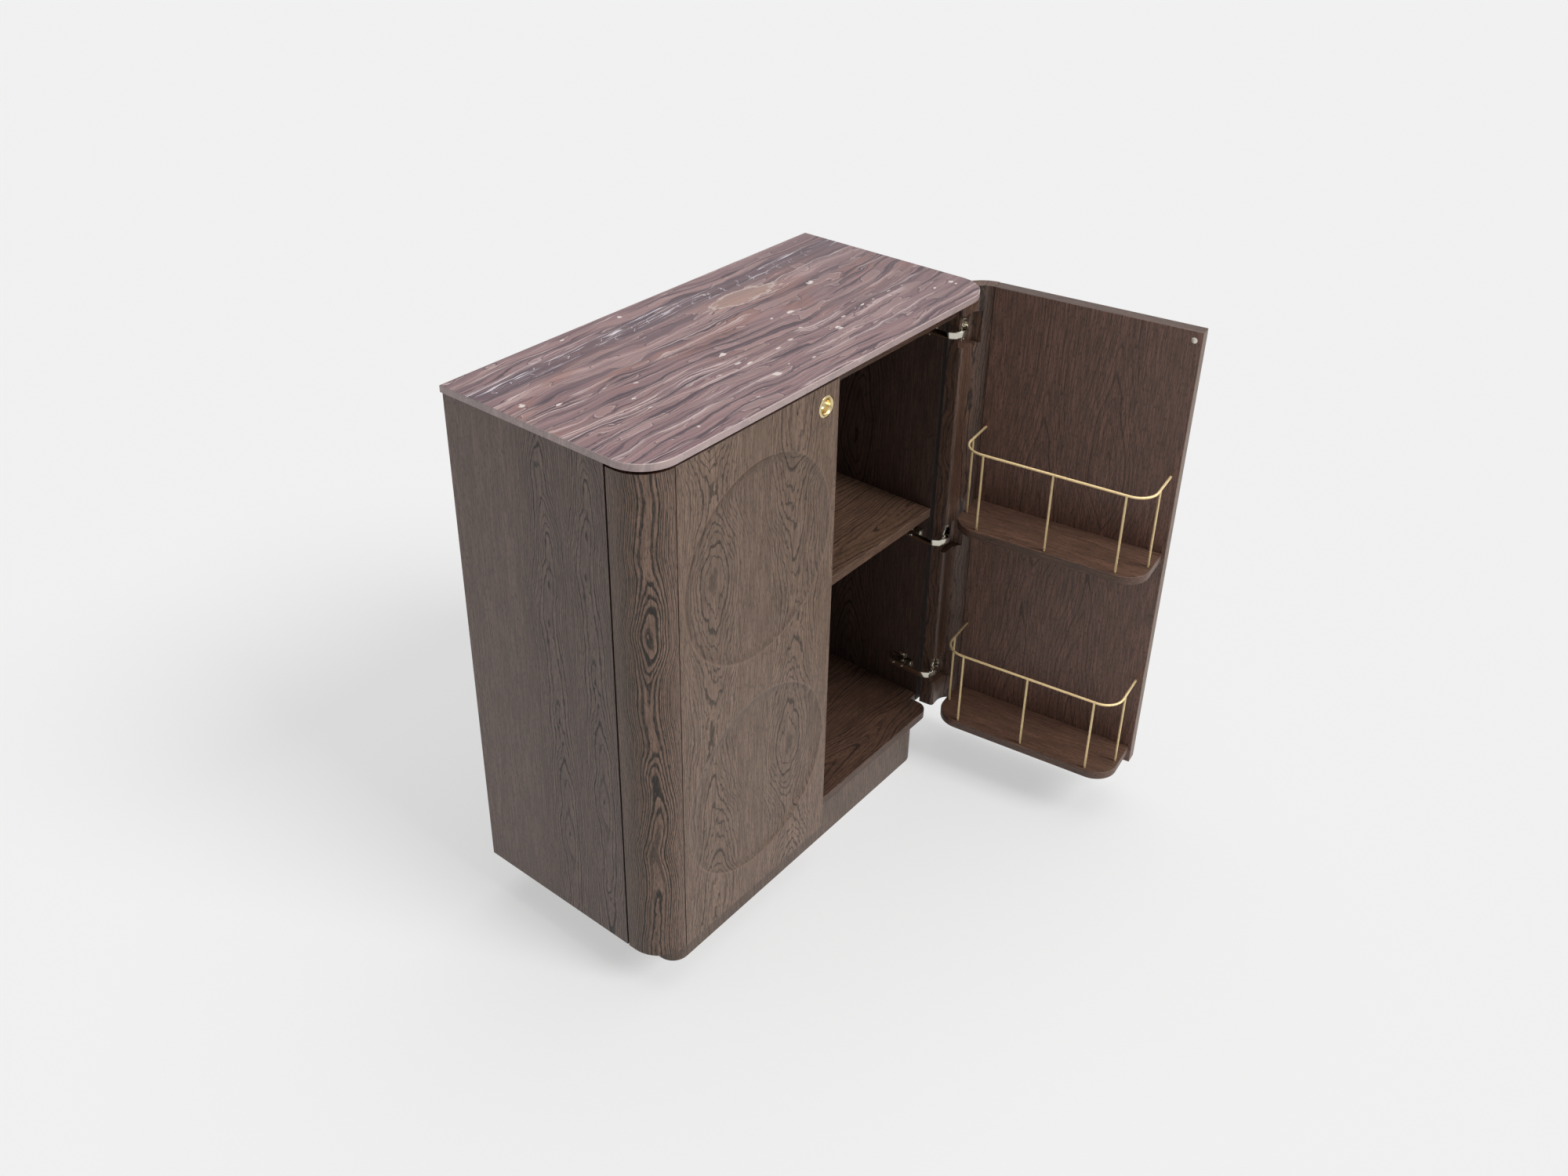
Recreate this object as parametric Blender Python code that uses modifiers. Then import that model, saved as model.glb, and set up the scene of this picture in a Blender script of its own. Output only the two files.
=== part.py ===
"""Bar cabinet: oak carcass on a plinth, marble top, two bow-cornered doors with dished circles.

Units are metres, +Z is up, the front faces -Y, and the origin is on the floor at the middle of the
marble's outline. The left door is shut. The right door stands open and shows its two bottle shelves.
Each door is drawn shut, hung on an empty on its hinge axis, and turned to its pose by that empty.
"""

import math

import bmesh
import bpy
from mathutils import Matrix, Vector

# Overall size, over the marble
WIDTH = 0.950
DEPTH = 0.450
HEIGHT = 1.100
FIT_GAP = 0.0003

# Marble slab
MARBLE_THICKNESS = 0.013
MARBLE_OVERHANG = 0.004
MARBLE_ARRIS = 0.0012

# Carcass boards and plinth
BOARD_THICKNESS = 0.020
SIDE_THICKNESS = 0.017
TOP_THICKNESS = 0.040
BACK_THICKNESS = 0.010
BACK_INSET = 0.003
BOARD_ARRIS = 0.0008
SHOULDER_RELIEF = 0.001
MIDDLE_SHELF_TOP = 0.5925
PLINTH_HEIGHT = 0.092
PLINTH_SIDE_INSET = 0.080
PLINTH_FRONT_INSET = 0.045
PLINTH_BACK_INSET = 0.020
PLINTH_RADIUS = 0.034
PLINTH_WALL = 0.020
SHELF_PIN_DIAMETER = 0.005
SHELF_PIN_REACH = 0.010
SHELF_PIN_SOCKET = 0.008
SHELF_PIN_SETBACK = 0.045

# Doors: a flat panel glued to a bow-cornered stile
DOOR_THICKNESS = 0.0275
DOOR_TOP_GAP = 0.007
DOOR_MEETING_GAP = 0.003
DOOR_TO_BOARD_GAP = 0.0077
STILE_RADIUS = 0.065
STILE_DEPTH = 0.0805
STILE_NOSE = 0.032
STILE_NOSE_ROUND = 0.007
SIDE_REVEAL = 0.003
DISH_DIAMETER = 0.378
DISH_DEPTH = 0.0045
DISH_BAND = 0.050
DISH_SPACING = 0.468
RIGHT_DOOR_OPEN = math.radians(97.5)

# Finger pull, turned from brass
PULL_DIAMETER = 0.041
PULL_MOUTH_DIAMETER = 0.026
PULL_BODY_DIAMETER = 0.030
PULL_LENGTH = 0.016
PULL_FLOOR = 0.0015
PULL_RISE = 0.0015
PULL_FROM_EDGE = 0.035
PULL_FROM_TOP = 0.040

# Magnetic catch
CATCH_DIAMETER = 0.012
CATCH_DISC_THICKNESS = 0.002
CATCH_SOCKET = 0.010
CATCH_AIR = 0.0008
CATCH_FROM_EDGE = 0.015
CATCH_FROM_TOP = 0.018

# Concealed hinges: the swing is about one upright axis near the door's outer rear corner
HINGE_AXIS_INBOARD = 0.005
HINGE_AXIS_SETBACK = 0.07225
UPPER_HINGE_DROP = 0.085
MIDDLE_HINGE_DROP = 0.0445
LOWER_HINGE_RISE = 0.095
POCKET_HEIGHT = 0.066
POCKET_WALL = 0.021
POCKET_SINK = 0.005
POCKET_ROUND = 0.008
CUP_DIAMETER = 0.0344
CUP_DEPTH = 0.0115
CUP_WALL = 0.0014
CUP_SETBACK = 0.0595
CUP_FLANGE_THICKNESS = 0.002
CUP_FLANGE_HEIGHT = 0.052
CUP_FLANGE_WIDTH = 0.020
STRAP_HEIGHT = 0.013
STRAP_THICKNESS = 0.0024
STRAP_RADIUS = 0.034
STRAP_SWEEP = math.radians(49)
LEVER_AIR = 0.0004
LEVER_SWEEP = math.radians(53)
LEVER_PAST_AXIS = math.radians(-5)
LEVER_BEND = 0.005
ARM_START = 0.029
ARM_LENGTH = 0.045
ARM_PLATE_THICKNESS = 0.003
ARM_PLATE_HEIGHT = 0.018
ARM_WING_HEIGHT = 0.042
ARM_WING_WIDTH = 0.018

# Bottle shelves inside the right door, with brass galleries
DOOR_SHELF_THICKNESS = 0.017
DOOR_SHELF_DEPTH = 0.1235
DOOR_SHELF_RADIUS = 0.050
DOOR_SHELF_HINGE_MARGIN = 0.001
DOOR_SHELF_FREE_MARGIN = 0.006
DOOR_SHELF_CLEARANCE = 0.004
GALLERY_ROD = 0.005
GALLERY_HEIGHT = 0.169
GALLERY_INSET = 0.0085
GALLERY_SOCKET = 0.008
GALLERY_SIDE_POST = 0.061
GALLERY_FRONT_POST = 0.046

# Facets
ARC_STEP = math.radians(7.5)
ROUND_SIDES = 24
PIN_SIDES = 12
DISH_SIDES = 72
DISH_RINGS = 5

# Places worked out from the sizes above
WOOD_FRONT = -DEPTH / 2 + MARBLE_OVERHANG
WOOD_SIDE = WIDTH / 2 - MARBLE_OVERHANG
BACK_EDGE = DEPTH / 2
SIDE_INNER = WOOD_SIDE - SIDE_THICKNESS
MARBLE_UNDER = HEIGHT - MARBLE_THICKNESS
CARCASS_BOTTOM = PLINTH_HEIGHT + FIT_GAP
CARCASS_TOP = MARBLE_UNDER - FIT_GAP
BOTTOM_TOP = CARCASS_BOTTOM + BOARD_THICKNESS
TOP_UNDER = CARCASS_TOP - TOP_THICKNESS
SHELF_UNDER = MIDDLE_SHELF_TOP - BOARD_THICKNESS
DOOR_INNER = WOOD_FRONT + DOOR_THICKNESS
BOARD_FRONT = DOOR_INNER + DOOR_TO_BOARD_GAP
SIDE_FRONT = WOOD_FRONT + STILE_DEPTH + SIDE_REVEAL
BACK_FRONT = BACK_EDGE - BACK_INSET - BACK_THICKNESS
COVE_RADIUS = STILE_RADIUS - STILE_NOSE
DOOR_BOTTOM = CARCASS_BOTTOM
DOOR_TOP = MARBLE_UNDER - DOOR_TOP_GAP
JOINT_X = WOOD_SIDE - STILE_RADIUS
FREE_X = DOOR_MEETING_GAP / 2
PANEL_X = JOINT_X - FIT_GAP
DISH_MIDDLE = (DOOR_BOTTOM + DOOR_TOP) / 2
AXIS_X = WOOD_SIDE - HINGE_AXIS_INBOARD
AXIS_Y = WOOD_FRONT + HINGE_AXIS_SETBACK
SEAT_X = WOOD_SIDE - POCKET_WALL
CUP_Y = WOOD_FRONT + CUP_SETBACK
LEVER_RADIUS = STRAP_RADIUS - STRAP_THICKNESS - LEVER_AIR
CATCH_X = FREE_X + CATCH_FROM_EDGE
CATCH_Z = DOOR_TOP - CATCH_FROM_TOP
HINGE_HEIGHTS = {
    "upper": DOOR_TOP - UPPER_HINGE_DROP,
    "middle": SHELF_UNDER - MIDDLE_HINGE_DROP,
    "lower": DOOR_BOTTOM + LOWER_HINGE_RISE,
}
DOOR_SHELF_UNDERSIDES = {
    "upper": MIDDLE_SHELF_TOP + DOOR_SHELF_CLEARANCE,
    "lower": BOTTOM_TOP + DOOR_SHELF_CLEARANCE,
}


def make_collection(name):
    collection = bpy.data.collections.new(name)
    bpy.context.scene.collection.children.link(collection)
    return collection


for leftover in list(bpy.data.objects):
    bpy.data.objects.remove(leftover, do_unlink=True)
PARTS = make_collection("bar_cabinet")
CUTTERS = make_collection("bar_cabinet_cutters")


def finish_material(name, colour, roughness, metallic=0.0):
    material = bpy.data.materials.new(name)
    material.use_nodes = True
    shader = material.node_tree.nodes["Principled BSDF"]
    shader.inputs["Base Color"].default_value = (*colour, 1.0)
    shader.inputs["Roughness"].default_value = roughness
    shader.inputs["Metallic"].default_value = metallic
    return material


OAK = finish_material("smoked_oak", (0.095, 0.065, 0.046), 0.55)
DARK_OAK = finish_material("smoked_oak_inside", (0.050, 0.034, 0.025), 0.60)
MARBLE = finish_material("purple_marble", (0.235, 0.140, 0.145), 0.30)
BRASS = finish_material("satin_brass", (0.620, 0.420, 0.150), 0.30, 1.0)
NICKEL = finish_material("bright_nickel", (0.580, 0.550, 0.490), 0.22, 1.0)
STEEL = finish_material("plain_steel", (0.620, 0.610, 0.600), 0.30, 1.0)


def add_object(name, mesh, material=None):
    """Link a mesh as a finished part, or as a hidden cutter where no material is given."""
    item = bpy.data.objects.new(name, mesh)
    if material is None:
        CUTTERS.objects.link(item)
        item.hide_render = True
        item.display_type = "WIRE"
    else:
        PARTS.objects.link(item)
        mesh.materials.clear()
        mesh.materials.append(material)
        mesh.shade_smooth()
        mesh.set_sharp_from_angle(angle=math.radians(30))
    return item


def mesh_from_bmesh(name, shape):
    mesh = bpy.data.meshes.new(name)
    shape.to_mesh(mesh)
    shape.free()
    return mesh


def mesh_from_object(item):
    """Evaluate a curve or a modified mesh, weld its seams, merge its flat faces and keep its place."""
    bpy.context.view_layer.update()
    evaluated = item.evaluated_get(bpy.context.evaluated_depsgraph_get())
    mesh = bpy.data.meshes.new_from_object(evaluated)
    mesh.transform(item.matrix_world)
    shape = bmesh.new()
    shape.from_mesh(mesh)
    bmesh.ops.remove_doubles(shape, verts=shape.verts, dist=0.000005)
    bmesh.ops.dissolve_limit(shape, angle_limit=math.radians(0.1), verts=shape.verts, edges=shape.edges)
    bmesh.ops.recalc_face_normals(shape, faces=shape.faces)
    shape.to_mesh(mesh)
    shape.free()
    source = item.data
    bpy.data.objects.remove(item, do_unlink=True)
    if isinstance(source, bpy.types.Curve):
        bpy.data.curves.remove(source)
    return mesh


def box(name, low, high, material=None):
    low, high = Vector(low), Vector(high)
    shape = bmesh.new()
    place = Matrix.Translation((low + high) / 2) @ Matrix.Diagonal((*(high - low), 1.0))
    bmesh.ops.create_cube(shape, size=1.0, matrix=place)
    return add_object(name, mesh_from_bmesh(name, shape), material)


def cylinder(name, start, end, diameter, sides, material=None):
    start, end = Vector(start), Vector(end)
    along = end - start
    turn = along.to_track_quat("Z", "Y").to_matrix().to_4x4()
    shape = bmesh.new()
    bmesh.ops.create_cone(
        shape, cap_ends=True, segments=sides, radius1=diameter / 2, radius2=diameter / 2,
        depth=along.length, matrix=Matrix.Translation((start + end) / 2) @ turn)
    return add_object(name, mesh_from_bmesh(name, shape), material)


def arc(centre, radius, start, end):
    """Points on an arc from one angle to another, both ends included."""
    steps = max(2, math.ceil(abs(end - start) / ARC_STEP))
    angles = [start + (end - start) * step / steps for step in range(steps + 1)]
    return [(centre[0] + radius * math.cos(angle), centre[1] + radius * math.sin(angle)) for angle in angles]


def plate(name, outline, low, high, material=None):
    """A flat outline in plan, filled and extruded between two heights."""
    curve = bpy.data.curves.new(name + "_outline", "CURVE")
    curve.dimensions = "2D"
    curve.fill_mode = "BOTH"
    curve.extrude = (high - low) / 2
    spline = curve.splines.new("POLY")
    spline.points.add(len(outline) - 1)
    for point, (x, y) in zip(spline.points, outline):
        point.co = (x, y, 0.0, 1.0)
    spline.use_cyclic_u = True
    guide = bpy.data.objects.new(name + "_outline", curve)
    guide.location.z = (low + high) / 2
    CUTTERS.objects.link(guide)
    return add_object(name, mesh_from_object(guide), material)


def band(path, thickness):
    """The outline of a strap of even thickness along a path of points in plan."""
    left, right = [], []
    for index, (x, y) in enumerate(path):
        before = Vector(path[max(index - 1, 0)])
        after = Vector(path[min(index + 1, len(path) - 1)])
        along = (after - before).normalized() * (thickness / 2)
        left.append((x - along.y, y + along.x))
        right.append((x + along.y, y - along.x))
    return left + right[::-1]


def turned(name, profile, sides, place, material=None):
    """A profile of (radius, height) points turned about its own Z axis."""
    mesh = bpy.data.meshes.new(name)
    edges = [(index, index + 1) for index in range(len(profile) - 1)]
    mesh.from_pydata([(radius, 0.0, height) for radius, height in profile], edges, [])
    item = bpy.data.objects.new(name, mesh)
    CUTTERS.objects.link(item)
    screw = item.modifiers.new("turn", "SCREW")
    screw.steps = screw.render_steps = sides
    screw.use_merge_vertices = True
    screw.merge_threshold = 0.000005
    item.matrix_world = place
    return add_object(name, mesh_from_object(item), material)


def rod(name, path, diameter, material=None):
    """A round rod along a path of points in space, with closed ends."""
    curve = bpy.data.curves.new(name + "_path", "CURVE")
    curve.dimensions = "3D"
    curve.bevel_depth = diameter / 2
    curve.bevel_resolution = 3
    curve.use_fill_caps = True
    spline = curve.splines.new("POLY")
    spline.points.add(len(path) - 1)
    for point, place in zip(spline.points, path):
        point.co = (*place, 1.0)
    guide = bpy.data.objects.new(name + "_path", curve)
    CUTTERS.objects.link(guide)
    return add_object(name, mesh_from_object(guide), material)


def boolean(item, tool, operation):
    modifier = item.modifiers.new(operation.lower(), "BOOLEAN")
    modifier.operation = operation
    modifier.solver = "EXACT"
    modifier.object = tool


def ease_edges(item, width, angle=60):
    modifier = item.modifiers.new("arris", "BEVEL")
    modifier.width = width
    modifier.segments = 1
    modifier.limit_method = "ANGLE"
    modifier.angle_limit = math.radians(angle)


def mirrored(side, outline):
    """An outline drawn for the right-hand side, taken to the side that is asked for."""
    return [(side * x, y) for x, y in outline]


def board_outline():
    """Bottom and top boards: between the sides, with a narrower tongue that clears the closed stiles."""
    radius = COVE_RADIUS - DOOR_TO_BOARD_GAP
    corner = (JOINT_X, BOARD_FRONT + radius)
    inner = SIDE_INNER - FIT_GAP
    right = arc(corner, radius, -math.pi / 2, 0.0)
    right += [(JOINT_X + radius, SIDE_FRONT), (inner, SIDE_FRONT + SHOULDER_RELIEF), (inner, BACK_EDGE)]
    return right + mirrored(-1, right[::-1])


def make_plinth():
    """Hollow plinth: a ring of four walls with round front corners and one rail across the middle."""
    half = WIDTH / 2 - PLINTH_SIDE_INSET
    front = -DEPTH / 2 + PLINTH_FRONT_INSET
    back = BACK_EDGE - PLINTH_BACK_INSET

    def right_half(inset):
        radius = max(PLINTH_RADIUS - inset, FIT_GAP)
        corner = (half - inset - radius, front + inset + radius)
        return arc(corner, radius, -math.pi / 2, 0.0) + [(half - inset, back - inset)]

    right = right_half(0.0)
    plinth = plate("plinth", right + mirrored(-1, right[::-1]), 0.0, PLINTH_HEIGHT, OAK)
    rail = PLINTH_WALL / 2
    for side, word in ((-1, "left"), (1, "right")):
        hollow = right_half(PLINTH_WALL) + [(rail, back - PLINTH_WALL), (rail, front + PLINTH_WALL)]
        cutter = plate(word + "_plinth_hollow", mirrored(side, hollow), -PLINTH_WALL, HEIGHT)
        boolean(plinth, cutter, "DIFFERENCE")


def make_carcass():
    bottom = plate("bottom_panel", board_outline(), CARCASS_BOTTOM, BOTTOM_TOP, OAK)
    top = plate("top_panel", board_outline(), TOP_UNDER, CARCASS_TOP, OAK)
    ease_edges(bottom, BOARD_ARRIS)
    inner = SIDE_INNER - FIT_GAP
    box("back_panel", (-inner, BACK_FRONT, BOTTOM_TOP + FIT_GAP),
        (inner, BACK_FRONT + BACK_THICKNESS, TOP_UNDER - FIT_GAP), DARK_OAK)
    shelf = box("middle_shelf", (-inner, SIDE_FRONT, SHELF_UNDER),
                (inner, BACK_FRONT - FIT_GAP, MIDDLE_SHELF_TOP), OAK)
    ease_edges(shelf, BOARD_ARRIS)
    for side, word in ((-1, "left"), (1, "right")):
        low = (min(side * SIDE_INNER, side * WOOD_SIDE), SIDE_FRONT, CARCASS_BOTTOM)
        high = (max(side * SIDE_INNER, side * WOOD_SIDE), BACK_EDGE, CARCASS_TOP)
        panel = box(word + "_side_panel", low, high, OAK)
        ease_edges(panel, BOARD_ARRIS)
        for y, place in ((SIDE_FRONT + SHELF_PIN_SETBACK, "front"),
                         (BACK_FRONT - SHELF_PIN_SETBACK, "back")):
            make_shelf_pin(side, word, place, y, panel)
    return top


def make_shelf_pin(side, word, place, y, panel):
    """A steel pin pushed into the side panel, under one corner of the middle shelf."""
    z = SHELF_UNDER - FIT_GAP - SHELF_PIN_DIAMETER / 2
    tip = (side * (SIDE_INNER - SHELF_PIN_REACH), y, z)
    foot = (side * (SIDE_INNER + SHELF_PIN_SOCKET), y, z)
    name = f"{word}_{place}_shelf_pin"
    cylinder(name, tip, foot, SHELF_PIN_DIAMETER, PIN_SIDES, STEEL)
    bottom = (foot[0] + side * FIT_GAP, y, z)
    socket = cylinder(name + "_socket", tip, bottom, SHELF_PIN_DIAMETER + 2 * FIT_GAP, PIN_SIDES)
    boolean(panel, socket, "DIFFERENCE")


def make_marble_top():
    radius = STILE_RADIUS + MARBLE_OVERHANG
    corner = (WIDTH / 2 - radius, -DEPTH / 2 + radius)
    right = arc(corner, radius, -math.pi / 2, 0.0) + [(WIDTH / 2, BACK_EDGE)]
    outline = right + mirrored(-1, right[::-1])
    slab = plate("marble_top", outline, MARBLE_UNDER, HEIGHT, MARBLE)
    ease_edges(slab, MARBLE_ARRIS)


def stile_outline():
    """Section of the right-hand stile: quarter-round outside, cove inside, and a nose for the hinges."""
    end_y = WOOD_FRONT + STILE_DEPTH
    nose_x = JOINT_X + COVE_RADIUS
    outside = arc((JOINT_X, WOOD_FRONT + STILE_RADIUS), STILE_RADIUS, -math.pi / 2, 0.0)
    nose = arc((nose_x + STILE_NOSE_ROUND, end_y - STILE_NOSE_ROUND), STILE_NOSE_ROUND, math.pi / 2, math.pi)
    cove = arc((JOINT_X, DOOR_INNER + COVE_RADIUS), COVE_RADIUS, 0.0, -math.pi / 2)
    return outside + [(WOOD_SIDE, end_y)] + nose + cove


def pocket_outline():
    """Plan of a hinge pocket: a flat back, a flat cup seat and a round corner between them."""
    back_y = DOOR_INNER + POCKET_SINK
    past_end = WOOD_FRONT + STILE_DEPTH + SIDE_REVEAL
    corner = (SEAT_X - POCKET_ROUND, back_y + POCKET_ROUND)
    seat_corner = arc(corner, POCKET_ROUND, -math.pi / 2, 0.0)
    return [(JOINT_X, back_y)] + seat_corner + [(SEAT_X, past_end), (JOINT_X, past_end)]


def make_stile(side, word):
    stile = plate(word + "_door_stile", mirrored(side, stile_outline()), DOOR_BOTTOM, DOOR_TOP, OAK)
    pieces = [stile]
    for level, z in HINGE_HEIGHTS.items():
        name = f"{word}_{level}_hinge"
        pocket = plate(name + "_pocket", mirrored(side, pocket_outline()),
                       z - POCKET_HEIGHT / 2, z + POCKET_HEIGHT / 2)
        bore = cylinder(
            name + "_bore", (side * (SEAT_X - CUP_DEPTH), CUP_Y, z),
            (side * (SEAT_X + CUP_DEPTH + FIT_GAP), CUP_Y, z), CUP_DIAMETER + 2 * FIT_GAP, ROUND_SIDES)
        for cutter in (pocket, bore):
            boolean(stile, cutter, "DIFFERENCE")
            pieces.append(cutter)
    return pieces


def dish_profile():
    """A shallow hollow with a flat floor. A hollow-curved band leads from the floor up to the rim.

    The points run from just in front of the door's face, past the rim, down to the floor's middle.
    """
    floor_radius = DISH_DIAMETER / 2 - DISH_BAND
    steps = [step / DISH_RINGS for step in range(DISH_RINGS + 1, -1, -1)]
    band = [(floor_radius + DISH_BAND * step, DISH_DEPTH * (step ** 4 - 1)) for step in steps]
    front = band[0][1] + DISH_DEPTH
    return [(0.0, front), (band[0][0], front), *band, (0.0, -DISH_DEPTH)]


def facing_front(x, z):
    """A place on the door's front face, with local Z pointing out of it."""
    return Matrix.Translation((x, WOOD_FRONT, z)) @ Matrix.Rotation(math.pi / 2, 4, "X")


def make_panel(side, word):
    """The flat door panel, with its two dished circles cut into the front."""
    low = (min(side * FREE_X, side * PANEL_X), WOOD_FRONT, DOOR_BOTTOM)
    high = (max(side * FREE_X, side * PANEL_X), DOOR_INNER, DOOR_TOP)
    panel = box(word + "_door_panel", low, high, OAK)
    ease_edges(panel, BOARD_ARRIS)
    pieces = [panel]
    for place, step in (("upper", 0.5), ("lower", -0.5)):
        middle = facing_front(side * (FREE_X + PANEL_X) / 2, DISH_MIDDLE + step * DISH_SPACING)
        dish = turned(f"{word}_{place}_dish", dish_profile(), DISH_SIDES, middle)
        boolean(panel, dish, "DIFFERENCE")
        pieces.append(dish)
    return pieces


def pull_profile():
    """Brass finger pull: a hollow cup with a flared lip that laps over the door's face."""
    lip = PULL_DIAMETER / 2
    mouth = PULL_MOUTH_DIAMETER / 2
    body = PULL_BODY_DIAMETER / 2
    wall = body - mouth
    floor = -PULL_LENGTH + PULL_FLOOR
    return [
        (0.0, floor), (mouth - wall, floor), (mouth - wall / 2, floor + wall),
        (mouth, -wall), (mouth + wall / 2, -FIT_GAP),
        ((mouth + lip) / 2 + wall / 2, PULL_RISE), (lip - wall / 2, PULL_RISE),
        (lip, PULL_RISE / 2), (lip, FIT_GAP), (body, FIT_GAP), (body, -PULL_LENGTH), (0.0, -PULL_LENGTH)]


def make_pull(side, word, panel):
    place = facing_front(side * (FREE_X + PULL_FROM_EDGE), DOOR_TOP - PULL_FROM_TOP)
    pull = turned(word + "_finger_pull", pull_profile(), ROUND_SIDES, place, BRASS)
    face = place @ Vector((0.0, 0.0, PULL_RISE))
    back = place @ Vector((0.0, 0.0, -PULL_LENGTH - FIT_GAP))
    bore = cylinder(word + "_pull_bore", face, back, PULL_BODY_DIAMETER + 2 * FIT_GAP, ROUND_SIDES)
    boolean(panel, bore, "DIFFERENCE")
    return [pull, bore]


def make_catch_disc(side, word, panel):
    """Steel strike disc let in flush with the door's inner face."""
    x = side * CATCH_X
    back_y = DOOR_INNER - CATCH_DISC_THICKNESS
    disc = cylinder(word + "_catch_disc", (x, back_y, CATCH_Z), (x, DOOR_INNER, CATCH_Z),
                    CATCH_DIAMETER, ROUND_SIDES, STEEL)
    recess = cylinder(word + "_catch_recess", (x, back_y - FIT_GAP, CATCH_Z), (x, BOARD_FRONT, CATCH_Z),
                      CATCH_DIAMETER + 2 * FIT_GAP, ROUND_SIDES)
    boolean(panel, recess, "DIFFERENCE")
    return [disc, recess]


def make_catch_magnet(side, word, top):
    """Magnet pushed into the front edge of the top board, just short of the closed door's disc."""
    x = side * CATCH_X
    face_y = DOOR_INNER + CATCH_AIR
    back_y = BOARD_FRONT + CATCH_SOCKET
    cylinder(word + "_catch_magnet", (x, face_y, CATCH_Z), (x, back_y, CATCH_Z),
             CATCH_DIAMETER, ROUND_SIDES, STEEL)
    socket = cylinder(word + "_magnet_socket", (x, face_y, CATCH_Z), (x, back_y + FIT_GAP, CATCH_Z),
                      CATCH_DIAMETER + 2 * FIT_GAP, ROUND_SIDES)
    boolean(top, socket, "DIFFERENCE")


def make_hinge_arm(side, word, level, z):
    """Carcass half of a hinge: mounting plate, arm and the strap that bends round the door's nose."""
    name = f"{word}_{level}_hinge_arm"
    low, high = z - STRAP_HEIGHT / 2, z + STRAP_HEIGHT / 2
    arm_end = AXIS_Y + ARM_START + ARM_LENGTH
    path = [(AXIS_X - STRAP_RADIUS, arm_end)]
    path += arc((AXIS_X, AXIS_Y), STRAP_RADIUS, math.pi, math.pi + STRAP_SWEEP)
    strap = plate(name, mirrored(side, band(path, STRAP_THICKNESS)), low, high, NICKEL)
    plate_face = SIDE_INNER - FIT_GAP - ARM_PLATE_THICKNESS
    body_x = sorted((side * (AXIS_X - STRAP_RADIUS), side * (plate_face + ARM_PLATE_THICKNESS / 2)))
    body = box(name + "_body", (body_x[0], AXIS_Y + ARM_START, low + FIT_GAP),
               (body_x[1], arm_end - FIT_GAP, high - FIT_GAP))
    plate_x = sorted((side * plate_face, side * (SIDE_INNER - FIT_GAP)))
    arm_start = AXIS_Y + ARM_START
    mount = box(name + "_plate", (plate_x[0], arm_start - ARM_PLATE_THICKNESS, z - ARM_PLATE_HEIGHT / 2),
                (plate_x[1], arm_end + ARM_PLATE_THICKNESS, z + ARM_PLATE_HEIGHT / 2))
    wing_y = arm_start + ARM_LENGTH / 2
    wing = box(name + "_wing", (plate_x[0] + FIT_GAP, wing_y - ARM_WING_WIDTH / 2, z - ARM_WING_HEIGHT / 2),
               (plate_x[1] - FIT_GAP, wing_y + ARM_WING_WIDTH / 2, z + ARM_WING_HEIGHT / 2))
    for piece in (body, mount, wing):
        boolean(strap, piece, "UNION")


def make_hinge_cup(side, word, level, z):
    """Door half of a hinge: cup, flange and the lever that continues the strap when the door is open."""
    name = f"{word}_{level}_hinge_cup"
    low, high = z - STRAP_HEIGHT / 2, z + STRAP_HEIGHT / 2
    flange_back = SEAT_X - FIT_GAP
    flange_face = flange_back - CUP_FLANGE_THICKNESS
    floor_x = SEAT_X + CUP_DEPTH
    cup = cylinder(name, (side * flange_face, CUP_Y, z), (side * floor_x, CUP_Y, z),
                   CUP_DIAMETER, ROUND_SIDES, NICKEL)
    flange_x = sorted((side * flange_face, side * flange_back))
    flange = box(name + "_flange", (flange_x[0], CUP_Y - CUP_FLANGE_WIDTH / 2, z - CUP_FLANGE_HEIGHT / 2),
                 (flange_x[1], CUP_Y + CUP_FLANGE_WIDTH / 2, z + CUP_FLANGE_HEIGHT / 2))
    hollow = cylinder(name + "_hollow", (side * (flange_face - CUP_WALL), CUP_Y, z),
                      (side * (floor_x - CUP_WALL), CUP_Y, z), CUP_DIAMETER - 2 * CUP_WALL, ROUND_SIDES)
    axis = Vector((AXIS_X, AXIS_Y))
    bend_at = math.pi + LEVER_PAST_AXIS
    bend = axis + (LEVER_RADIUS - LEVER_BEND) * Vector((math.cos(bend_at), math.sin(bend_at)))
    path = arc(axis, LEVER_RADIUS, math.pi - LEVER_SWEEP, bend_at)
    path += arc(bend, LEVER_BEND, bend_at, 1.5 * math.pi)[1:]
    path.append((floor_x - CUP_WALL / 2, bend.y - LEVER_BEND))
    lever = plate(name + "_lever", mirrored(side, band(path, STRAP_THICKNESS)), low, high)
    for tool, operation in ((flange, "UNION"), (hollow, "DIFFERENCE"), (lever, "UNION")):
        boolean(cup, tool, operation)
    return [cup, flange, hollow, lever]


def make_door_shelf(level, underside):
    """Bottle shelf on the right door's inner face, with round front corners and sockets for its gallery."""
    left = FREE_X + DOOR_SHELF_FREE_MARGIN
    right = PANEL_X - DOOR_SHELF_HINGE_MARGIN
    back = DOOR_INNER + FIT_GAP
    front = back + DOOR_SHELF_DEPTH
    round_y = front - DOOR_SHELF_RADIUS
    outline = [(left, back), (right, back)]
    outline += arc((right - DOOR_SHELF_RADIUS, round_y), DOOR_SHELF_RADIUS, 0.0, math.pi / 2)
    outline += arc((left + DOOR_SHELF_RADIUS, round_y), DOOR_SHELF_RADIUS, math.pi / 2, math.pi)
    shelf = plate(level + "_door_shelf", outline, underside, underside + DOOR_SHELF_THICKNESS, OAK)
    ease_edges(shelf, BOARD_ARRIS)
    return shelf


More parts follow.
